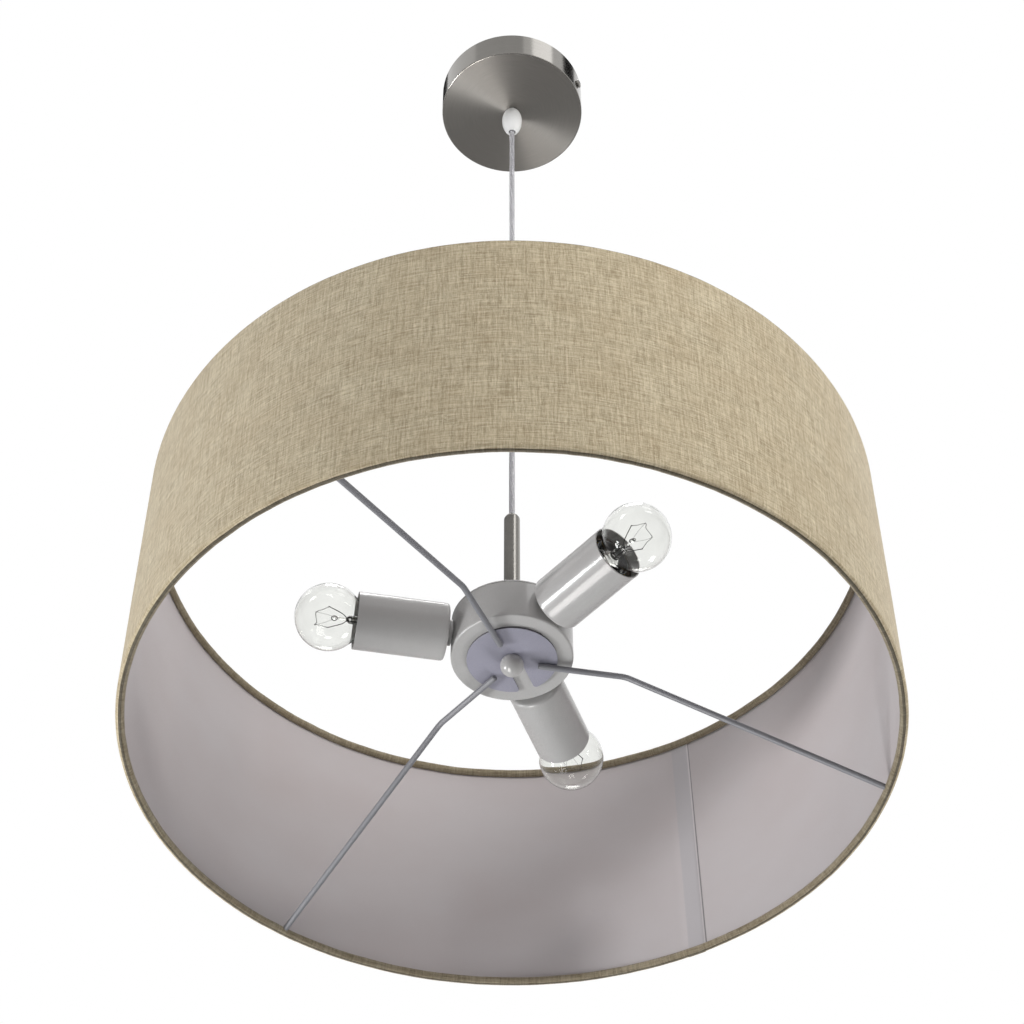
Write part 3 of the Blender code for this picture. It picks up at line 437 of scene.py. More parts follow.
def plastic(name, colour, rough=(0.35, 0.5), spots=0.9):
    """Moulded plastic with a fine spark-eroded grain."""
    look = Look(name, colour, 0.45)
    grain = look.noise(look.place(), 1900, 3, 0.6)
    broad = look.noise(look.place(), 70, 3, 0.5)
    look.colour(look.mix(look.fit(broad, 0.35, 0.7), colour, toned(colour, spots)))
    look.roughness(look.fit(look.maths("ADD", grain, broad), 0.7, 1.3, *rough))
    look.bump(grain, 0.02 * MM, 0.6)
    return look.material


def clear_pvc():
    """The cord's clear sheath, slightly hazy and scuffed."""
    look = Look("clear_pvc", (0.85, 0.85, 0.86), 0.12, 0.0, IOR=1.5, Transmission_Weight=0.75)
    haze = look.noise(look.place((400, 400, 60)), 1, 3, 0.6)
    look.colour(look.mix(look.fit(haze, 0.35, 0.7), (0.87, 0.87, 0.88), (0.78, 0.78, 0.80)))
    look.roughness(look.fit(haze, 0.3, 0.75, 0.06, 0.2))
    look.bump(haze, 0.03 * MM, 0.4)
    return look.material


def glass():
    """Blown glass: clear, with faint smears and waves, and greyer where it is seen edge on: a painted shade for the
    dark surroundings it reflects and bends there.
    """
    look = Look("clear_glass", (0.95, 0.965, 0.955), 0.0, 0.0, IOR=1.5, Transmission_Weight=1.0,
                Specular_Tint=(0.2, 0.2, 0.2, 1))
    smear = look.noise(look.place(), 90, 3, 0.6)
    colour = look.mix(look.fit(smear, 0.4, 0.75), (0.93, 0.934, 0.918), (0.895, 0.9, 0.883))
    # painted shade: the glass turns grey towards its edges as the surface turns away
    facing = look.node("ShaderNodeLayerWeight", {"Blend": 0.5}).outputs["Facing"]
    look.colour(look.mix(look.fit(facing, 0.8, 1.0, 0.0, 0.7), colour, (0.34, 0.35, 0.34)))
    look.roughness(look.fit(smear, 0.45, 0.8, 0.0, 0.03))
    look.bump(look.noise(look.place(), 55, 2), 0.12 * MM, 0.25)
    return look.material


def linen(name="linen", dark=1.0):
    """Slubbed linen on the drum's flat cut: u runs round it and v up it, in metres."""
    # dark below 1 darkens both tones: the hem and fold copies use it as painted shade under the rims
    low, high = (toned(colour, dark) for colour in LINEN)
    look = Look(name, high, 0.85, 0.0, Sheen_Weight=0.2, Sheen_Roughness=0.5, Specular_IOR_Level=0.2)
    total = None
    for round_it, up_it, weight in ((62, 820, 1.25), (760, 48, 1.3), (210, 1500, 1.0), (1450, 190, 1.0), (18, 380, 0.6),
                                    (420, 16, 0.6)):  # weft and warp, from fine threads to broad slubs
        threads = look.noise(look.place((round_it, up_it, 1), uv="cloth"), 1, 3, 0.6)
        part = look.maths("MULTIPLY", look.maths("SUBTRACT", threads, 0.5), weight)
        total = look.maths("ADD", total, part) if total else part
    both = look.fit(total, -0.42, 0.42)
    patchy = look.noise(look.place((26, 34, 1), uv="cloth"), 1, 4, 0.65)
    colour = look.mix(both, low, high)
    colour = look.mix(look.fit(patchy, 0.35, 0.68, 0.0, 0.30), colour, toned(low, 1.25, 1.18, 1.1))
    flecks = look.noise(look.place((420, 900, 1), uv="cloth"), 1, 2, 0.5)
    colour = look.mix(look.fit(flecks, 0.66, 0.74, 0.0, 0.55), colour, toned(low, 0.45))
    flecks = look.noise(look.place((800, 380, 1), uv="cloth"), 1, 2, 0.5)
    colour = look.mix(look.fit(flecks, 0.67, 0.75, 0.0, 0.5), colour, toned(high, 1.25))
    look.colour(colour)
    look.roughness(look.fit(both, 0.0, 1.0, 0.95, 0.72))
    look.bump(both, 0.3 * MM, 0.6)
    return look.material


def lining_film():
    """The lining's smooth film: a faint grain, soft ripples where it is stuck down, and at the seam a painted shade on
    the doubled lap, a painted highlight along the lap's edge and a painted shadow in the step beside it.
    """
    look = Look("white_lining", LINING, 0.5, 0.0, Specular_IOR_Level=0.35)
    grain = look.noise(look.place((500, 900, 1), uv="cloth"), 1, 3, 0.6)
    broad = look.noise(look.place((7, 11, 1), uv="cloth"), 1, 3, 0.55)
    across = look.node("ShaderNodeSeparateXYZ", {0: look.place(uv="cloth")}).outputs[0]
    waves = look.noise(look.place((1, 60, 1), uv="cloth"), 1, 2)
    # the lap band, made greyer: painted shade where the film is doubled
    lap = look.fit(look.maths("ADD", across, look.maths("MULTIPLY", waves, 0.0008)), 0.0148, 0.0142)
    colour = look.mix(look.fit(broad, 0.35, 0.7), LINING, toned(LINING, 0.94, 0.91, 0.90))
    colour = look.mix(lap, colour, toned(LINING, 0.89, 0.905, 0.92))
    # a pale line along the lap's edge: a painted highlight
    light = look.maths("MULTIPLY", look.fit(across, 0.0019, 0.0014), look.fit(across, 0.0006, 0.0009))
    colour = look.mix(look.maths("MULTIPLY", light, 0.7), colour, toned(LINING, 1.3))
    # a dark line in the step at the lap's edge: a painted shadow
    dark = look.fit(across, 0.0007, 0.0004)
    look.colour(look.mix(look.maths("MULTIPLY", dark, 0.65), colour, toned(LINING, 0.3)))
    look.roughness(look.fit(grain, 0.3, 0.7, 0.45, 0.6))
    ripple = look.noise(look.place((16, 9, 1), uv="cloth"), 1, 2, 0.5)
    look.bump(look.maths("ADD", look.maths("MULTIPLY", grain, 0.02), ripple), 0.9 * MM, 0.35)
    return look.material


def wire_metal():
    """The bulbs' dark drawn wires."""
    look = Look("mount_wire", (0.075, 0.073, 0.07), 0.45, 1.0)
    drawn = look.noise(look.place((300, 300, 2400)), 1, 3)
    look.colour(look.mix(drawn, (0.05, 0.049, 0.047), (0.11, 0.107, 0.10)))
    look.roughness(look.fit(drawn, 0.3, 0.7, 0.3, 0.5))
    return look.material


# Pieces


def make_canopy():
    inside, top = CANOPY_RADIUS - 0.8 * MM, FACE_Z + 0.8 * MM
    outline = outlined([(CANOPY_RADIUS, -GAP, 0), (CANOPY_RADIUS, FACE_Z, 0.9 * MM), (NIPPLE_BORE, FACE_Z, 0.15 * MM),
                        (NIPPLE_BORE, top, 0), (inside, top, 0.5 * MM), (inside, -GAP, 0)])
    on_face = [abs(height - FACE_Z) < 1e-6 for _, height in outline]
    indices = [0 if here and there else 1 for here, there in zip(on_face, on_face[1:] + on_face[:1])]
    add("canopy", turned(outline, 256, indices=indices), "brushed_nickel polished_nickel", "canopy", "canopy_cup")

    belly, radius = 11 * MM, 8.4 * MM
    base_angle, lip_angle = math.acos(6.3 / 8.4), math.acos(3.1 / 8.4)
    shoulder, nose = belly / math.sin(base_angle), 17.9 * MM / math.sin(lip_angle)
    curves = [(x, shoulder * y) for x, y in arc(0, 0, 1, -base_angle, 0, 10)[:-1]]
    curves += [(x, nose * y) for x, y in arc(0, 0, 1, 0, lip_angle, 20)]
    outline = [(radius * x, GRIP_TOP_Z - belly - drop) for x, drop in curves]
    outline += [(2.9 * MM, MOUTH_Z), (2.7 * MM, MOUTH_Z + 0.2 * MM), (2.7 * MM, MOUTH_Z + 6 * MM)]
    outline += [(NIPPLE_BORE, GRIP_TOP_Z - 17 * MM), (NIPPLE_BORE, GRIP_TOP_Z)]
    add("cord_grip", turned(outline, 96), "white_nylon", "canopy", "cord_grip_cap")


def make_cord():
    """The cord: three twisted cores in a clear sheath, from the grip's mouth to the stem, and its hidden ends."""
    top, bottom = MOUTH_Z + 0.9 * MM, STEM_TOP_Z + 0.6 * MM
    spans, core_spans = 96, 300
    twist, core_ring, core_radius = 55 * MM, 0.82 * MM, 0.66 * MM
    path = [(0, 0, top + (bottom - top) * index / spans) for index in range(spans + 1)]
    sheath = add("cord_sheath", swept(path, CORD_RADIUS, 24), "clear_pvc")
    cores = []
    for index in range(3):
        points = []
        for step in range(core_spans + 1):
            z = top + (bottom - top) * step / core_spans
            angle = TURN * (index / 3 + (top - z) / twist)
            points.append((core_ring * math.cos(angle), core_ring * math.sin(angle), z))
        cores.append(swept(points, core_radius, 8))
    core = add("cord_cores", joined(cores, 50), "cord_core")
    for obj in (sheath, core):
        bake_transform(obj)
    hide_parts("cord_bend", "pendant_cord")

    for name, top, pitch, count, body, node in (
            ("cord_in_grip", FACE_Z + 12 * MM, 1 * MM, 41, "canopy", "cord_tail_upper"),
            ("cord_in_stem", STEM_TOP_Z + 0.9 * MM, 2 * MM, 56, "lamp", "cord_tail_lower")):
        points = [(0, 0, top - pitch * index) for index in range(count)]
        add(name, swept(points, CORD_RADIUS, 24), "clear_pvc", body, node)


def make_stem():
    bottom, outside, inside = HUB_TOP_Z + GAP, 5.6 * MM, 4.4 * MM
    tube = [(outside, STEM_TOP_Z, 0.9 * MM), (outside, bottom, 0.2 * MM), (inside, bottom, 0),
            (inside, STEM_TOP_Z, 0.15 * MM)]
    add("stem", turned(tube, 96), "satin_nickel", "lamp", "stem_tube")
    flange, seat, foot = STEM_TOP_Z + 1.1 * MM, STEM_TOP_Z + GAP, STEM_TOP_Z - 9 * MM
    bush = [(4.9 * MM, flange, 0.5 * MM), (4.9 * MM, seat, 0.1 * MM), (4.1 * MM, seat, 0), (4.1 * MM, foot, 0),
            (2.4 * MM, foot, 0), (2.4 * MM, flange, 0.25 * MM)]
    add("stem_cord_bush", turned(bush, 64), "satin_nickel", "lamp", "stem_bush")


def make_hub():
    rim, inside, floor = HUB_TOP_Z - 1.8 * MM, HUB_RADIUS - 1.2 * MM, HUB_BOTTOM_Z + HUB_SHEET
    cup = [(HUB_RADIUS, rim, 0.15 * MM), (HUB_RADIUS, HUB_BOTTOM_Z, 1.2 * MM), (ROD_BORE, HUB_BOTTOM_Z, 0.1 * MM),
           (ROD_BORE, floor, 0), (inside, floor, 0.6 * MM), (inside, rim, 0)]
    add("hub", turned(cup, 192), "white_paint", "lamp", "hub_cup")
    under, lip = HUB_TOP_Z - HUB_SHEET, rim - 2 * MM
    lid = [(HUB_RADIUS, HUB_TOP_Z, 0.7 * MM), (HUB_RADIUS, under, 0.1 * MM), (39 * MM, under, 0), (39 * MM, lip, 0),
           (38 * MM, lip, 0), (38 * MM, under, 0), (ROD_BORE, under, 0), (ROD_BORE, HUB_TOP_Z, 0.1 * MM)]
    add("hub_cover", turned(lid, 192), "white_paint", "lamp", "hub_lid")


def holder_matrix(angle):
    """Turns Z along an arm, from the hub's axis outwards. Holders and bulbs are drawn in millimetres on it."""
    return Matrix.Translation((0, 0, HOLDER_Z)) @ Matrix.Rotation(angle, 4, "Z") @ Matrix.Rotation(math.pi / 2, 4, "Y")


def threaded(radius, depth, low, high, matrix):
    """A screw cap's or shell's wall, rolled into a rounded helical thread."""
    steps, wall = 48, 0.35 * MM
    levels = int((high - low) / (THREAD_PITCH / 10))
    rows = []
    for step in range(steps):
        angle = TURN * step / steps
        row = []
        for level in range(levels + 1):
            z = low + (high - low) * level / levels
            fade = max(0, min(1, (z - low) / THREAD_PITCH, (high - z) / THREAD_PITCH))
            wave = 0.5 - 0.5 * math.cos(TURN * (z / THREAD_PITCH - step / steps))
            r = radius - depth * wave * fade
            row.append((r * math.cos(angle), r * math.sin(angle), z))
        back = [(x * (1 - wall / radius), y * (1 - wall / radius), z) for x, y, z in row[::-1]]
        rows.append(row + back)
    return finished(outwards(grid_mesh(rows, closed=True)), 60, matrix)


def make_holder(number, angle):
    matrix = holder_matrix(angle)
    bore = NIPPLE_BORE / MM
    collar = in_mm((8.8, 40.8, 0.3), (8.8, 43.8, 0.3), (bore, 43.8, 0), (bore, 40.8, 0))
    add(f"collar_{number}", turned(collar, 64, matrix), "white_paint", "lamp", f"spacer_collar_{number}")
    outside, inside, start, floor, end = 19.2, 18.3, 44.1, 45.3, 104.6
    sleeve = in_mm((inside, end, 0.3), (outside, end, 0.3), (outside, start, 2), (bore, start, 0), (bore, floor, 0),
                   (inside, floor, 1.2))
    add(f"sleeve_{number}", turned(sleeve, 128, matrix), "white_paint", "lamp", f"holder_sleeve_{number}")
    side, start, end, seat = 17.7, 45.6, 98, 70.3
    socket = outlined(in_mm((0, 51.9, 0), (bore, 51.9, 0), (bore, start, 0), (11, start, 0.5), (11, start + 8, 0),
                            (side, start + 14, 1)))
    for groove in (end - 10, end - 7.5, end - 5):
        socket += in_mm((side, groove - 0.6), (side - 0.5, groove - 0.3), (side - 0.5, groove + 0.3),
                        (side, groove + 0.6))
    socket += in_mm((side, end - 0.6), (17.4, end - 0.15), (17, end), (16.4, end), (16.1, end - 0.8), (15.3, end - 0.8),
                    (15, end), (14.6, end), (14.2, end - 0.4), (14.2, seat), (0, seat))
    add(f"lamp_socket_{number}", turned(socket, 96, matrix), "black_phenolic", "lamp", f"lampholder_{number}")
    shell = threaded(13.9 * MM, 0.5 * MM, 75.8 * MM, 96.3 * MM, matrix)
    add(f"screw_shell_{number}", shell, "brass", "lamp", f"socket_shell_{number}")


def globe_wall(neck, radius, throat):
    """One face of a bulb's glass: a straight neck, a throat that curves outwards and the globe."""
    start = math.asin(throat / radius)
    joint = (throat, BULB_CENTRE - radius * math.cos(start))
    corner = (neck, joint[1] - (throat - neck) * math.tan(start))
    points = [(neck, 95.8 * MM), (neck, 99.5 * MM), *bent((neck, 100.5 * MM), corner, joint, 8)]
    for step in range(1, 40):
        angle = start + (math.pi - start) * step / 40
        points.append((radius * math.sin(angle), BULB_CENTRE - radius * math.cos(angle)))
    return points + [(0, BULB_CENTRE + radius)]


def filament_coil(line):
    """The coiled filament along a line, sagging a little between its supports."""
    coil_radius, steps_a_turn = 0.17 * MM, 9
    coil = []
    for index, point in enumerate(line):
        ahead = (line[min(index + 1, len(line) - 1)] - line[max(index - 1, 0)]).normalized()
        side_way = ahead.orthogonal().normalized()
        other = ahead.cross(side_way)
        turn = TURN * index / steps_a_turn
        sag = Vector((0.35 * math.sin(index / 37), 0.25 * math.sin(index / 53), 0.45 * math.sin(index / 41))) * MM
        sag *= math.sin(math.pi * index / (len(line) - 1))
        coil.append(point + sag + (side_way * math.cos(turn) + other * math.sin(turn)) * coil_radius)
    return coil


def make_bulb(number, angle):
    matrix = holder_matrix(angle)
    body = f"bulb_{number}"
    cap = threaded(13.05 * MM, 0.55 * MM, 79.5 * MM, 99.8 * MM, matrix)
    cone = turned(in_mm((0, 76, 0), (7, 76, 0.4), (13, 79.5, 0.5), (12.6, 80.5, 0), (7, 77, 0), (0, 77, 0)), 48, matrix)
    add(f"screw_cap_{number}", joined([cap, cone], 35), "cap_metal", body, f"bulb_cap_{number}")
    outer = globe_wall(12.25 * MM, 22.5 * MM, 15 * MM)
    inner = globe_wall(11.75 * MM, 22.05 * MM, 14.5 * MM)
    globe = turned(outer[::-1] + inner, 96, matrix, 60)
    add(f"globe_{number}", globe, "clear_glass", body, f"bulb_glass_{number}")

    # the glass stem, on its flare
    stem = turned(in_mm((0, 96.4, 0), (11.2, 96.4, 0.2), (10.4, 97.2, 0.3), (3.4, 101, 2), (2.9, 106, 0),
                        (2.6, 109, 0.8), (1, 110.6, 0.3), (0.75, 112, 0), (0.75, 117.5, 0), (1.3, 118.3, 0.4),
                        (1.3, 119.3, 0.4), (0, 119.8, 0)), 48, matrix, 60)
    add(f"glass_stem_{number}", stem, "clear_glass", body, f"bulb_mount_{number}")

    # leads, supports and filament: local X is down, Y across and Z outwards
    matrix = matrix @ Matrix.Rotation(FILAMENT_ANGLES[number - 1], 4, "Z")
    tips, arch, corner, lean = 122.6, 130.6, 5.5, 3
    wires = []
    for side in (-1, 1):
        lead = in_mm((0, side, 101), (0, side * 1.2, 109.5), (0, side * 4.5, 113.6), (0, side * 8.7, 121.8),
                     (0, side * 9, tips), (0.3, side * 8.5, tips + 0.4))
        support = in_mm((0, 0, 119), (0.4, side * 1.5, 120), (2, side * 4.2, 126), (lean, side * corner, arch),
                        (lean + 0.5, side * corner, arch + 0.3), (lean + 0.1, side * (corner + 0.4), arch + 0.5))
        wires.append(swept(smooth_path(lead, 8), 0.3 * MM, 8, matrix))
        wires.append(swept(smooth_path(support, 8), 0.09 * MM, 6, matrix))
    left = in_mm((0, -9, tips), (1.2, -7.1, tips + 3.6), (lean, -corner, arch), (lean + 0.5, -2.6, arch - 0.5))
    line = smooth_path(left + [(x, -y, z) for x, y, z in left[::-1]], 110)
    wires.append(swept(filament_coil(line), 0.1 * MM, 5, matrix))
    turns = [TURN * step / 40 for step in range(41)]
    loop = in_mm(*((2.3 * math.sin(turn), 0.3, 118.6 + 1.9 * math.cos(turn)) for turn in turns))
    wires.append(swept(loop, 0.3 * MM, 8, matrix))
    add(f"filament_{number}", joined(wires, 60), "mount_wire", body)


def make_carrier():
    """The slotted plate and its three cranked rods, which end at the lower ring."""
    plate, slot, corner_size, sheet, bevel = 30 * MM, 5.1 * MM, 2 * MM, 1.5 * MM, 0.12 * MM
    half = slot + corner_size
    corner_x = math.sqrt((plate - corner_size) ** 2 - half ** 2)
    corner = math.atan2(half, corner_x)
    outline = arc(0, 0, slot, math.pi * 3 / 2, math.pi / 2, 32)
    outline += arc(corner_x, half, corner_size, -math.pi / 2, corner, 8)
    outline += arc(0, 0, plate, corner, TURN - corner, 128)[1:-1]
    outline += arc(corner_x, -half, corner_size, -corner, math.pi / 2, 8)
    bm = bmesh.new()
    face = bm.faces.new([bm.verts.new((x, y, 0)) for x, y in outline])
    made = bmesh.ops.extrude_face_region(bm, geom=[face])
    moved = [item for item in made["geom"] if isinstance(item, bmesh.types.BMVert)]
    bmesh.ops.translate(bm, verts=moved, vec=(0, 0, sheet))
    bmesh.ops.recalc_face_normals(bm, faces=bm.faces)
    rims = [edge for edge in bm.edges if abs(edge.verts[0].co.z - edge.verts[1].co.z) < 1e-9]
    bmesh.ops.bevel(bm, geom=rims, offset=bevel, segments=3, profile=0.5, affect="EDGES")
    mesh = bpy.data.meshes.new("plate")
    bm.to_mesh(mesh)
    bm.free()
    mesh.transform(Matrix.Translation((0, 0, PLATE_BOTTOM_Z)) @ Matrix.Rotation(math.radians(70), 4, "Z"))
    # The plate's upright edge faces take a near-black paint: a painted shadow along its rim.
    for face in mesh.polygons:
        face.material_index = 1 if abs(face.normal.z) < 0.3 and face.center.xy.length > plate - 1 * MM else 0
    add("carrier_plate", finished(mesh), "cool_paint edge_paint", "shade", "spider_plate")

    start, bend = Vector((17.5 * MM, ARM_Z)), Vector((76 * MM, ARM_Z))
    ring = Vector((RING_RADIUS, RIM_Z + HEM_OUTSIDE))
    end = ring - (ring - bend).normalized() * 2.4 * MM
    path = [start.lerp(Vector((60 * MM, ARM_Z)), t / 6) for t in range(1, 6)]
    path += [Vector(point) for point in rounded(bend, start, end, 18 * MM, 16)]
    path += [path[-1].lerp(end, t / 24) for t in range(1, 25)]
    tip = [(start.x + ahead, 0, start.y) for ahead in (0, 0.35 * MM, 0.9 * MM)]
    points = tip + [(point.x, 0, point.y) for point in path]
    radii = [1.4 * MM, 1.85 * MM] + [2 * MM] * (len(points) - 2)
    for number, angle in enumerate(ARM_ANGLES, 1):
        mesh = swept(points, radii, 20, Matrix.Rotation(angle, 4, "Z"))
        add(f"carrier_rod_{number}", mesh, "rod_paint", "shade", f"spider_arm_{number}")


def make_rings():
    for name, level in (("lower", HEM_OUTSIDE), ("upper", SHADE_HEIGHT - HEM_OUTSIDE)):
        outline = arc(RING_RADIUS, RIM_Z + level, 1.6 * MM, 0, TURN, 16)[:-1]
        mesh = turned(outline, 256, sharp=80)
        add(f"wire_ring_{name}", mesh, "cool_paint", "shade", f"shade_ring_{name}")


def wobble(angle, height, size, seed):
    """Smooth seeded noise round the drum."""
    place = (math.cos(angle) * size, math.sin(angle) * size, height * size / SHADE_RADIUS + seed)
    return noise.noise(Vector(place))


def make_lining():
    """The lining: a stiff film inside the linen, with a lap of its own that leans a little."""
    outside, inside = 248.9 * MM, 248.4 * MM
    low, high = 4.75 * MM, SHADE_HEIGHT - 4.75 * MM
    levels = 24
    lap = 14.6 * MM / SHADE_RADIUS / TURN

    rows, u = [], []
    for fraction in sorted([step / 384 for step in range(384)] + [0.0003, 1 - 0.0004, lap]):
        row = []
        for face, radius in (("in", inside), ("out", outside)):
            for level in range(levels + 1) if face == "in" else range(levels, -1, -1):
                height = low + (high - low) * level / levels
                angle = SEAM_ANGLE + math.radians(-0.4 + 0.8 * height / SHADE_HEIGHT) + TURN * fraction
                r = radius
                if face == "in":
                    r -= abs(0.4 * MM * wobble(angle, height, 3, 41) * math.sin(math.pi * level / levels))
                    if 0.0002 < fraction < lap + 1e-9:
                        r -= 0.4 * MM
                    if not 0.0002 < fraction < 1 - 0.0005:
                        r += 0.1 * MM
                row.append((r * math.cos(angle), r * math.sin(angle), RIM_Z + height))
        rows.append(row)
        u.append(fraction * TURN * SHADE_RADIUS)
    u.append(TURN * SHADE_RADIUS)
    v = [low + (high - low) * level / levels for level in range(levels + 1)]
    v = v + [value + 0.3 for value in v[::-1]] + [v[0]]
    mesh = outwards(grid_mesh(rows, closed=True, uvs=(u, v)))
    add("lining", finished(mesh, 50), "white_lining", "shade", "shade_lining")


def make_cover():
    """The linen: a lapped drum with a hem rolled over each wire ring."""
    low, high = HEM_OUTSIDE, SHADE_HEIGHT - HEM_OUTSIDE
    wrap, inside, lap, steps, groove = math.radians(286), 2.05 * MM, 13 * MM / SHADE_RADIUS, 26, 0.87

    def roll(level, upwards, offset):
        return [(r, level + upwards * height) for r, height in arc(RING_RADIUS, 0, offset, wrap, 0, steps)]

    wall = [(SHADE_RADIUS, low + (high - low) * step / 25) for step in range(24, 0, -1)]
    lower = roll(low, -1, HEM_OUTSIDE)[::-1]
    for step in (5, 6):  # the fold's edge, a groove under the rim
        r, z = lower[step]
        lower[step] = (RING_RADIUS + (r - RING_RADIUS) * groove, low + (z - low) * groove)
    outer = roll(high, 1, HEM_OUTSIDE) + wall + lower
    turns = [wrap * step / steps for step in range(steps + 1)]  # round the ring, from the wall
    turns = [-turn for turn in turns[::-1]] + [0] * len(wall) + turns
    inner_wall = [(SHADE_RADIUS - 0.8 * MM, low + (high - low) * step / 24) for step in range(1, 24)]
    outline = outer + roll(low, -1, inside) + inner_wall + roll(high, 1, inside)[::-1]
    # Plain linen on the wall and the rolls' outer sides; painted shadow (linen at 0.2) on the fold band under the lower
    # rim, painted shade (linen at 0.5) on the rest of both rolled hems and the inner side.
    indices = [0 if -20 <= turn <= 61 else 2 if 61 < turn < 105 else 1 for turn in map(math.degrees, turns)]
    indices += [1] * (len(outline) - len(outer))

    angles = [SEAM_ANGLE + TURN * step / 640 for step in range(640)]
    angles = sorted(angles + [SEAM_ANGLE + 0.0008, SEAM_ANGLE + lap, SEAM_ANGLE + lap + 0.0008])
    rows, u = [], []
    for angle in angles:
        row = []
        lapped = 0.0005 < angle - SEAM_ANGLE < lap + 0.0004
        for index, (radius, height) in enumerate(outline):
            r, z = radius, height
            if index < len(outer):
                if turns[index]:
                    seed = 11 if turns[index] > 0 else 17
                    size = min(1, abs(turns[index])) * MM
                    r += size * (0.16 * wobble(angle, height, 15, 3) + 0.1 * wobble(angle, height, 60, 5))
                    z += size * (0.3 * wobble(angle, 0, 9, seed) + 0.12 * wobble(angle, 0, 50, seed))
                else:
                    r += 0.35 * MM * wobble(angle, height, 3.5, 23) * math.sin(math.pi * height / SHADE_HEIGHT)
                if lapped and radius > RING_RADIUS:
                    r += 0.45 * MM
            row.append((r * math.cos(angle), r * math.sin(angle), RIM_Z + z))
        rows.append(row)
        u.append((angle - SEAM_ANGLE) * SHADE_RADIUS)
    u.append(TURN * SHADE_RADIUS)
    v = [0.0]
    for (r1, z1), (r2, z2) in zip(outline, outline[1:] + outline[:1]):
        v.append(v[-1] + math.hypot(r2 - r1, z2 - z1))
    mesh = finished(outwards(grid_mesh(rows, closed=True, uvs=(u, v), indices=indices)), 60)
    cover = add("linen_cover", mesh, "linen linen_hem linen_fold", "shade", "shade_cover")


def make_ball():
    seat, radius, foot = 4.3 * MM, 7.8 * MM, -4.7 * MM
    outline = [(0, foot), (ROD_BORE, foot), (ROD_BORE, seat - 0.2 * MM), (ROD_BORE + 0.2 * MM, seat)]
    outline += arc(0, 0, radius, math.asin(seat / radius), -math.pi / 2, 40)[:-1] + [(0, -radius)]
    mesh = turned(outline, 96, Matrix.Translation((0, 0, FINIAL_Z)))
    add("ball_nut", mesh, "white_paint", "finial", "finial_nut")


def make_leads():
    """The cord's three leads, from the end of its sheath into the terminal block."""
    bracket = Matrix.Rotation(BRACKET_ANGLE, 4, "Z")
    ring, sheath_end, level, mouth = 1.05 * MM, -17 * MM, -7.3 * MM, 8 * MM
    for use, colour, across, hour in (("neutral", "blue", -5 * MM, 7), ("earth", "green", 0, 11),
                                      ("live", "brown", 5 * MM, 3)):
        angle = TURN * hour / 12
        x, y = ring * math.cos(angle), ring * math.sin(angle)
        points = bent((x, y, sheath_end), (x, y, level), (mouth, across, level), 24)
        points += [(mouth + step * MM, across, level) for step in range(1, 5)]
        add(f"wire_{use}", swept(points, 0.7 * MM, 16, bracket), f"{colour}_lead", "canopy", f"lead_{use}")


def make_side_screws():
    """The canopy's slotted screws, with domed heads."""
    seat, head, height, shank = 60.3 * MM, 3.6 * MM, 2.2 * MM, 2 * MM
    tip, rim, top = seat - 9 * MM, 0.9 * MM, seat + height
    outline = [(0, tip), (shank - 0.4 * MM, tip), (shank, tip + 0.4 * MM), (shank, seat), (head - 0.2 * MM, seat),
               (head, seat + 0.2 * MM)]
    outline += [(head * x, seat + rim + (height - rim) * y) for x, y in arc(0, 0, 1, 0, math.pi / 2, 10)[:-1]]
    outline += [(0, top)]
    for number, side in ((1, 1), (2, -1)):
        matrix = Matrix.Rotation(BRACKET_ANGLE, 4, "Z") @ Matrix.Translation((0, 0, -14.5 * MM))
        matrix = matrix @ Matrix.Rotation(side * math.pi / 2, 4, "Y")
        screw = bpy.data.objects.new("screw_blank", turned(outline, 48))
        slot_mesh = bpy.data.meshes.new("screw_cutter")
        bm = bmesh.new()
        slot = Matrix.Translation((0, 0, top)) @ Matrix.Diagonal((1 * MM, 12 * MM, 2.2 * MM, 1))
        bmesh.ops.create_cube(bm, size=1, matrix=slot)
        bm.to_mesh(slot_mesh)
        bm.free()
        cutter = bpy.data.objects.new("screw_cutter", slot_mesh)
        for obj in (screw, cutter):
            bpy.context.scene.collection.objects.link(obj)
        cut = screw.modifiers.new("slot", "BOOLEAN")
        cut.object, cut.operation, cut.solver = cutter, "DIFFERENCE", "EXACT"
        mesh = bpy.data.meshes.new_from_object(screw.evaluated_get(bpy.context.evaluated_depsgraph_get()))
        mesh.materials.clear()
        for obj in (screw, cutter):
            bpy.data.objects.remove(obj)
        add(f"side_screw_{number}", finished(mesh, 30, matrix), "satin_nickel", "canopy", f"canopy_screw_{number}")


def dress_hidden():
    """Materials of the CAD nodes that stay: the fittings inside the canopy, the hub and the lampholders."""
    finishes = {"ceiling_bracket": "zinc_steel", "terminal_block": "white_nylon", "cord_grip_body": "white_nylon",
                "cord_grip_nut": "white_nylon", "centre_rod": "zinc_steel", "rod_nut": "zinc_steel"}
    for number in (1, 2, 3):
        finishes[f"holder_nipple_{number}"] = "zinc_steel"
        finishes[f"socket_contact_{number}"] = "brass"
        finishes[f"bulb_contact_{number}"] = "zinc_steel"
    for node, finish in finishes.items():
        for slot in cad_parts[node].material_slots:
            slot.material = LOOKS[finish]


# Light


def background_rays(tree):
    """1 for a ray that shows the background: straight on, in a reflection or through glass."""
    path = tree.nodes.new("ShaderNodeLightPath")
    seen = path.outputs["Is Camera Ray"]
    for kind in ("Is Glossy Ray", "Is Transmission Ray"):
        either = tree.nodes.new("ShaderNodeMath")
        either.operation = "MAXIMUM"
        tree.links.new(seen, either.inputs[0])
        tree.links.new(path.outputs[kind], either.inputs[1])
        seen = either.outputs[0]
    return seen


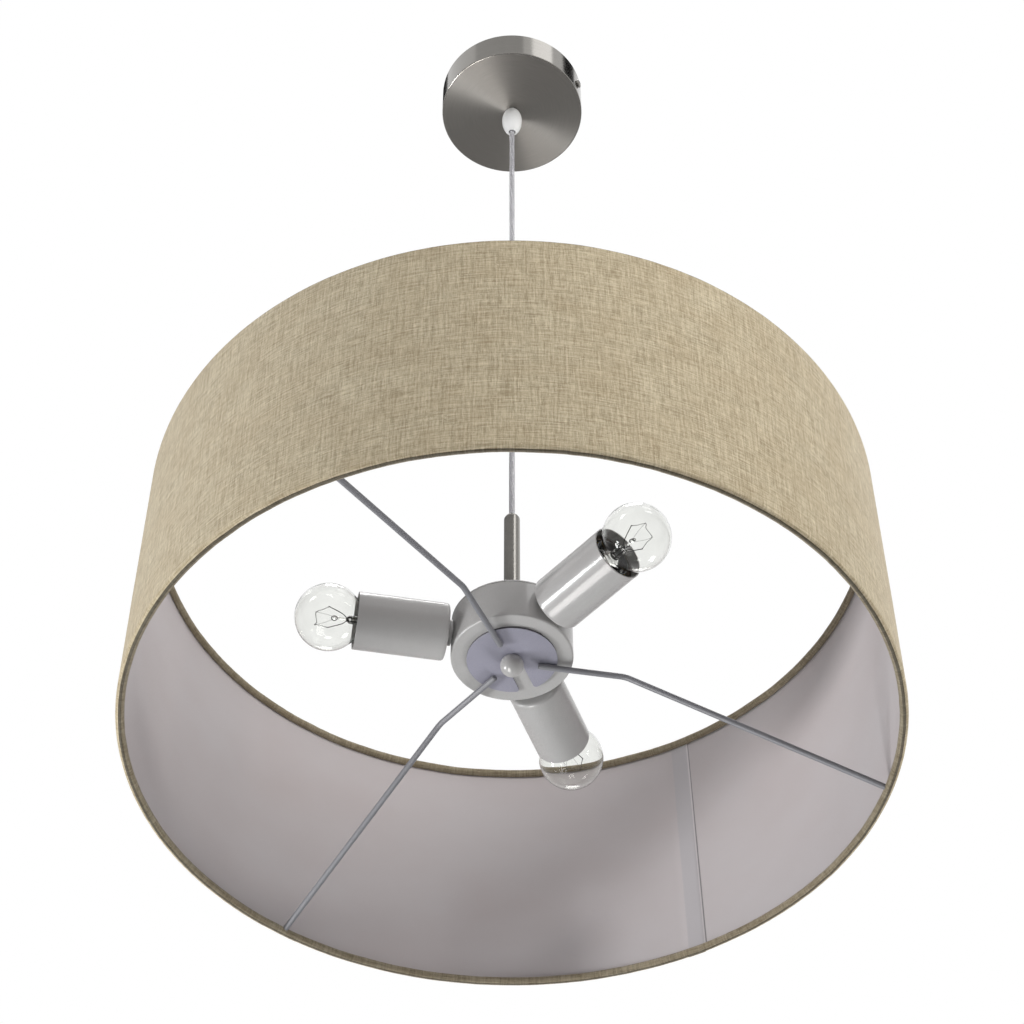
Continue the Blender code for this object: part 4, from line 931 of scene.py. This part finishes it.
def make_floor():
    """A pale floor. Its glow is for the eye only, and lights nothing."""
    size, glow = 9, 0.72
    rows = [[(x, y, FLOOR_Z) for y in (-size, size)] for x in (-size, size)]
    look = Look("floor", (0.82, 0.82, 0.82), 0.9, 0.0, Specular_IOR_Level=0.1, Emission_Color=(1, 1, 1, 1))
    grain = look.noise(look.place(), 3, 3, 0.5)
    look.colour(look.mix(grain, (0.83, 0.83, 0.83), (0.81, 0.81, 0.81)))
    look.feed(look.shader.inputs["Emission Strength"], look.maths("MULTIPLY", background_rays(look.tree), glow))
    show("floor", grid_mesh(rows, round_it=False), look.material)


def make_world():
    """White to look at, and dim as a light."""
    world = bpy.data.worlds.new("studio")
    bpy.context.scene.world = world
    world.use_nodes = True
    tree = world.node_tree
    tree.nodes.clear()
    mixed, out = tree.nodes.new("ShaderNodeMixShader"), tree.nodes.new("ShaderNodeOutputWorld")
    tree.links.new(background_rays(tree), mixed.inputs[0])
    for socket, colour, strength in ((1, (0.97, 0.98, 1, 1), AMBIENT), (2, (1, 1, 1, 1), 1)):
        shade = tree.nodes.new("ShaderNodeBackground")
        shade.inputs["Color"].default_value = colour
        shade.inputs["Strength"].default_value = strength
        tree.links.new(shade.outputs[0], mixed.inputs[socket])
    tree.links.new(mixed.outputs[0], out.inputs[0])


def make_lamp(name, place, target, size, power, colour, use="all"):
    """A soft box. One for tone has no reflection, and one for sheen lights nothing but reflections."""
    data = bpy.data.lights.new(name, "AREA")
    data.shape = "RECTANGLE"
    data.size, data.size_y = size
    data.energy = power
    data.color = colour
    lamp = bpy.data.objects.new(name, data)
    lamp.location = place
    lamp.rotation_euler = (Vector(target) - Vector(place)).to_track_quat("-Z", "Y").to_euler()
    lamp.visible_camera = False
    lamp.visible_diffuse = lamp.visible_transmission = use != "sheen"
    lamp.visible_glossy = use != "tone"
    bpy.context.scene.collection.objects.link(lamp)


def make_card(name, start, end, inner, outer, level, shade):
    """A flat card that only reflections show. It spans some degrees round Z, between two radii."""
    rows = []
    for step in range(17):
        angle = math.radians(start + (end - start) * step / 16)
        rows.append([(r * math.cos(angle), r * math.sin(angle), level) for r in (inner, outer)])
    look = Look(name, (0, 0, 0), 1.0, Specular_IOR_Level=0, Emission_Strength=shade)
    mottle = look.noise(look.place(), 5, 2)
    look.feed(look.shader.inputs["Emission Color"], look.mix(mottle, (0.9, 0.9, 0.9), (1, 1, 1)))
    card = show(name, grid_mesh(rows, round_it=False), look.material)
    card.visible_camera = card.visible_diffuse = card.visible_shadow = card.visible_transmission = False


FLOOR_Z = -2.35
AMBIENT = 0.195
LAMPS = [  # name, place, target, size, power, colour and use
    ("lamp_left", (-1.99, 0.03, -1.59), (0, 0, -0.66), (0.8, 0.4), 39, (0.98, 0.99, 1.0)),
    ("lamp_top", (0, -1.905, 0.44), (0, 0, -0.66), (0.7, 0.6), 17, (1, 1, 1), "tone"),
    ("lamp_rear", (1.386, 1.386, -1.659), (0, 0, -0.66), (0.7, 0.7), 22.5, (1, 1, 1), "tone"),
    ("lamp_front", (1.84, -1.062, -0.09), (0, 0, -0.66), (0.7, 0.7), 25, (1.0, 0.99, 0.97), "tone"),
    ("lamp_stem", (1.28, -1.52, 1.5), (0, 0, -0.6), (0.8, 0.6), 3.6, (1, 1, 1)),
    ("lamp_high", (0.738, -0.598, 1.5), (0, 0, 0), (0.6, 0.5), 1.2, (1, 1, 1)),
    ("lamp_back", (0, 0.3, 2.5), (0, 0, -0.4), (1.0, 1.0), 20, (1, 1, 1)),
    ("lamp_low", (-0.6, 0.05, -2.3), (0, 0, -0.03), (1.2, 1.2), 46, (1, 0.975, 0.955), "sheen"),
]
CARD_Z = 1.5
CARDS = [  # name, first and last angle, inner and outer radius, level and radiance
    ("card_band", 3, 34, 0.75, 1.2, CARD_Z, 0.02),
    ("card_left", 88, 136, 0.7, 1.2, CARD_Z, 0.02),
    ("card_soft", 208, 288, 0.75, 1.2, CARD_Z, 0.74),
    ("card_glow", -70, -57, 0.75, 1.2, CARD_Z, 1.15),
    ("card_floor", 0, 360, 0.02, 8.5, FLOOR_Z + 0.01, 0.45),
    ("card_stem", 90, 296, 1.7, 2.35, CARD_Z, 0.32),
    ("card_edge", -32, 10, 1.7, 2.35, CARD_Z, 0.7),
]


def make_looks():
    LOOKS.update({
        "brushed_nickel": brushed_nickel(),
        "polished_nickel": satin_nickel("polished_nickel", (0.11, 0.18), 0.0),
        "satin_nickel": satin_nickel(),
        "zinc_steel": zinc(),
        # the bulb caps' zinc at half tone: painted shade for the shadowed inside of the socket
        "cap_metal": zinc("cap_metal", 0.5, (0.4, 0.55)),
        "brass": brass(),
        "white_paint": paint("white_paint", (0.42, 0.415, 0.408), (0.40, 0.392, 0.385)),
        "cool_paint": paint("cool_paint", (0.285, 0.281, 0.338), (0.272, 0.267, 0.322)),
        # near-black: painted shadow for the carrier plate's edge
        "edge_paint": paint("edge_paint", (0.11, 0.107, 0.12), (0.09, 0.088, 0.1)),
        "rod_paint": paint("rod_paint", (0.20, 0.201, 0.218), (0.184, 0.185, 0.20), 0.001 * MM, 0.5, (0.45, 0.55)),
        "white_nylon": plastic("white_nylon", (0.80, 0.80, 0.79), (0.3, 0.45), 0.95),
        "black_phenolic": plastic("black_phenolic", (0.12, 0.097, 0.074), (0.5, 0.65), 0.7),
        "cord_core": plastic("cord_core", (0.50, 0.485, 0.52), (0.3, 0.45), 0.9),
        "brown_lead": plastic("brown_lead", (0.28, 0.15, 0.08), (0.35, 0.5)),
        "blue_lead": plastic("blue_lead", (0.08, 0.2, 0.5), (0.35, 0.5)),
        "green_lead": plastic("green_lead", (0.33, 0.47, 0.1), (0.35, 0.5)),
        "clear_pvc": clear_pvc(),
        "clear_glass": glass(),
        "linen": linen(),
        # darker copies of the linen: painted shade on the hems, painted shadow on the fold under the lower rim
        "linen_hem": linen("linen_hem", 0.5),
        "linen_fold": linen("linen_fold", 0.2),
        "white_lining": lining_film(),
        "mount_wire": wire_metal(),
    })


def build():
    make_looks()
    make_camera()
    make_cord()
    make_canopy()
    make_stem()
    make_hub()
    for number, angle in enumerate(HOLDER_ANGLES, 1):
        make_holder(number, angle)
        make_bulb(number, angle)
    make_carrier()
    make_rings()
    make_lining()
    make_cover()
    make_ball()
    make_leads()
    make_side_screws()
    dress_hidden()
    make_floor()
    make_world()
    for lamp in LAMPS:
        make_lamp(*lamp)
    for card in CARDS:
        make_card(*card)


bpy.context.scene.view_settings.view_transform = "Standard"
build()
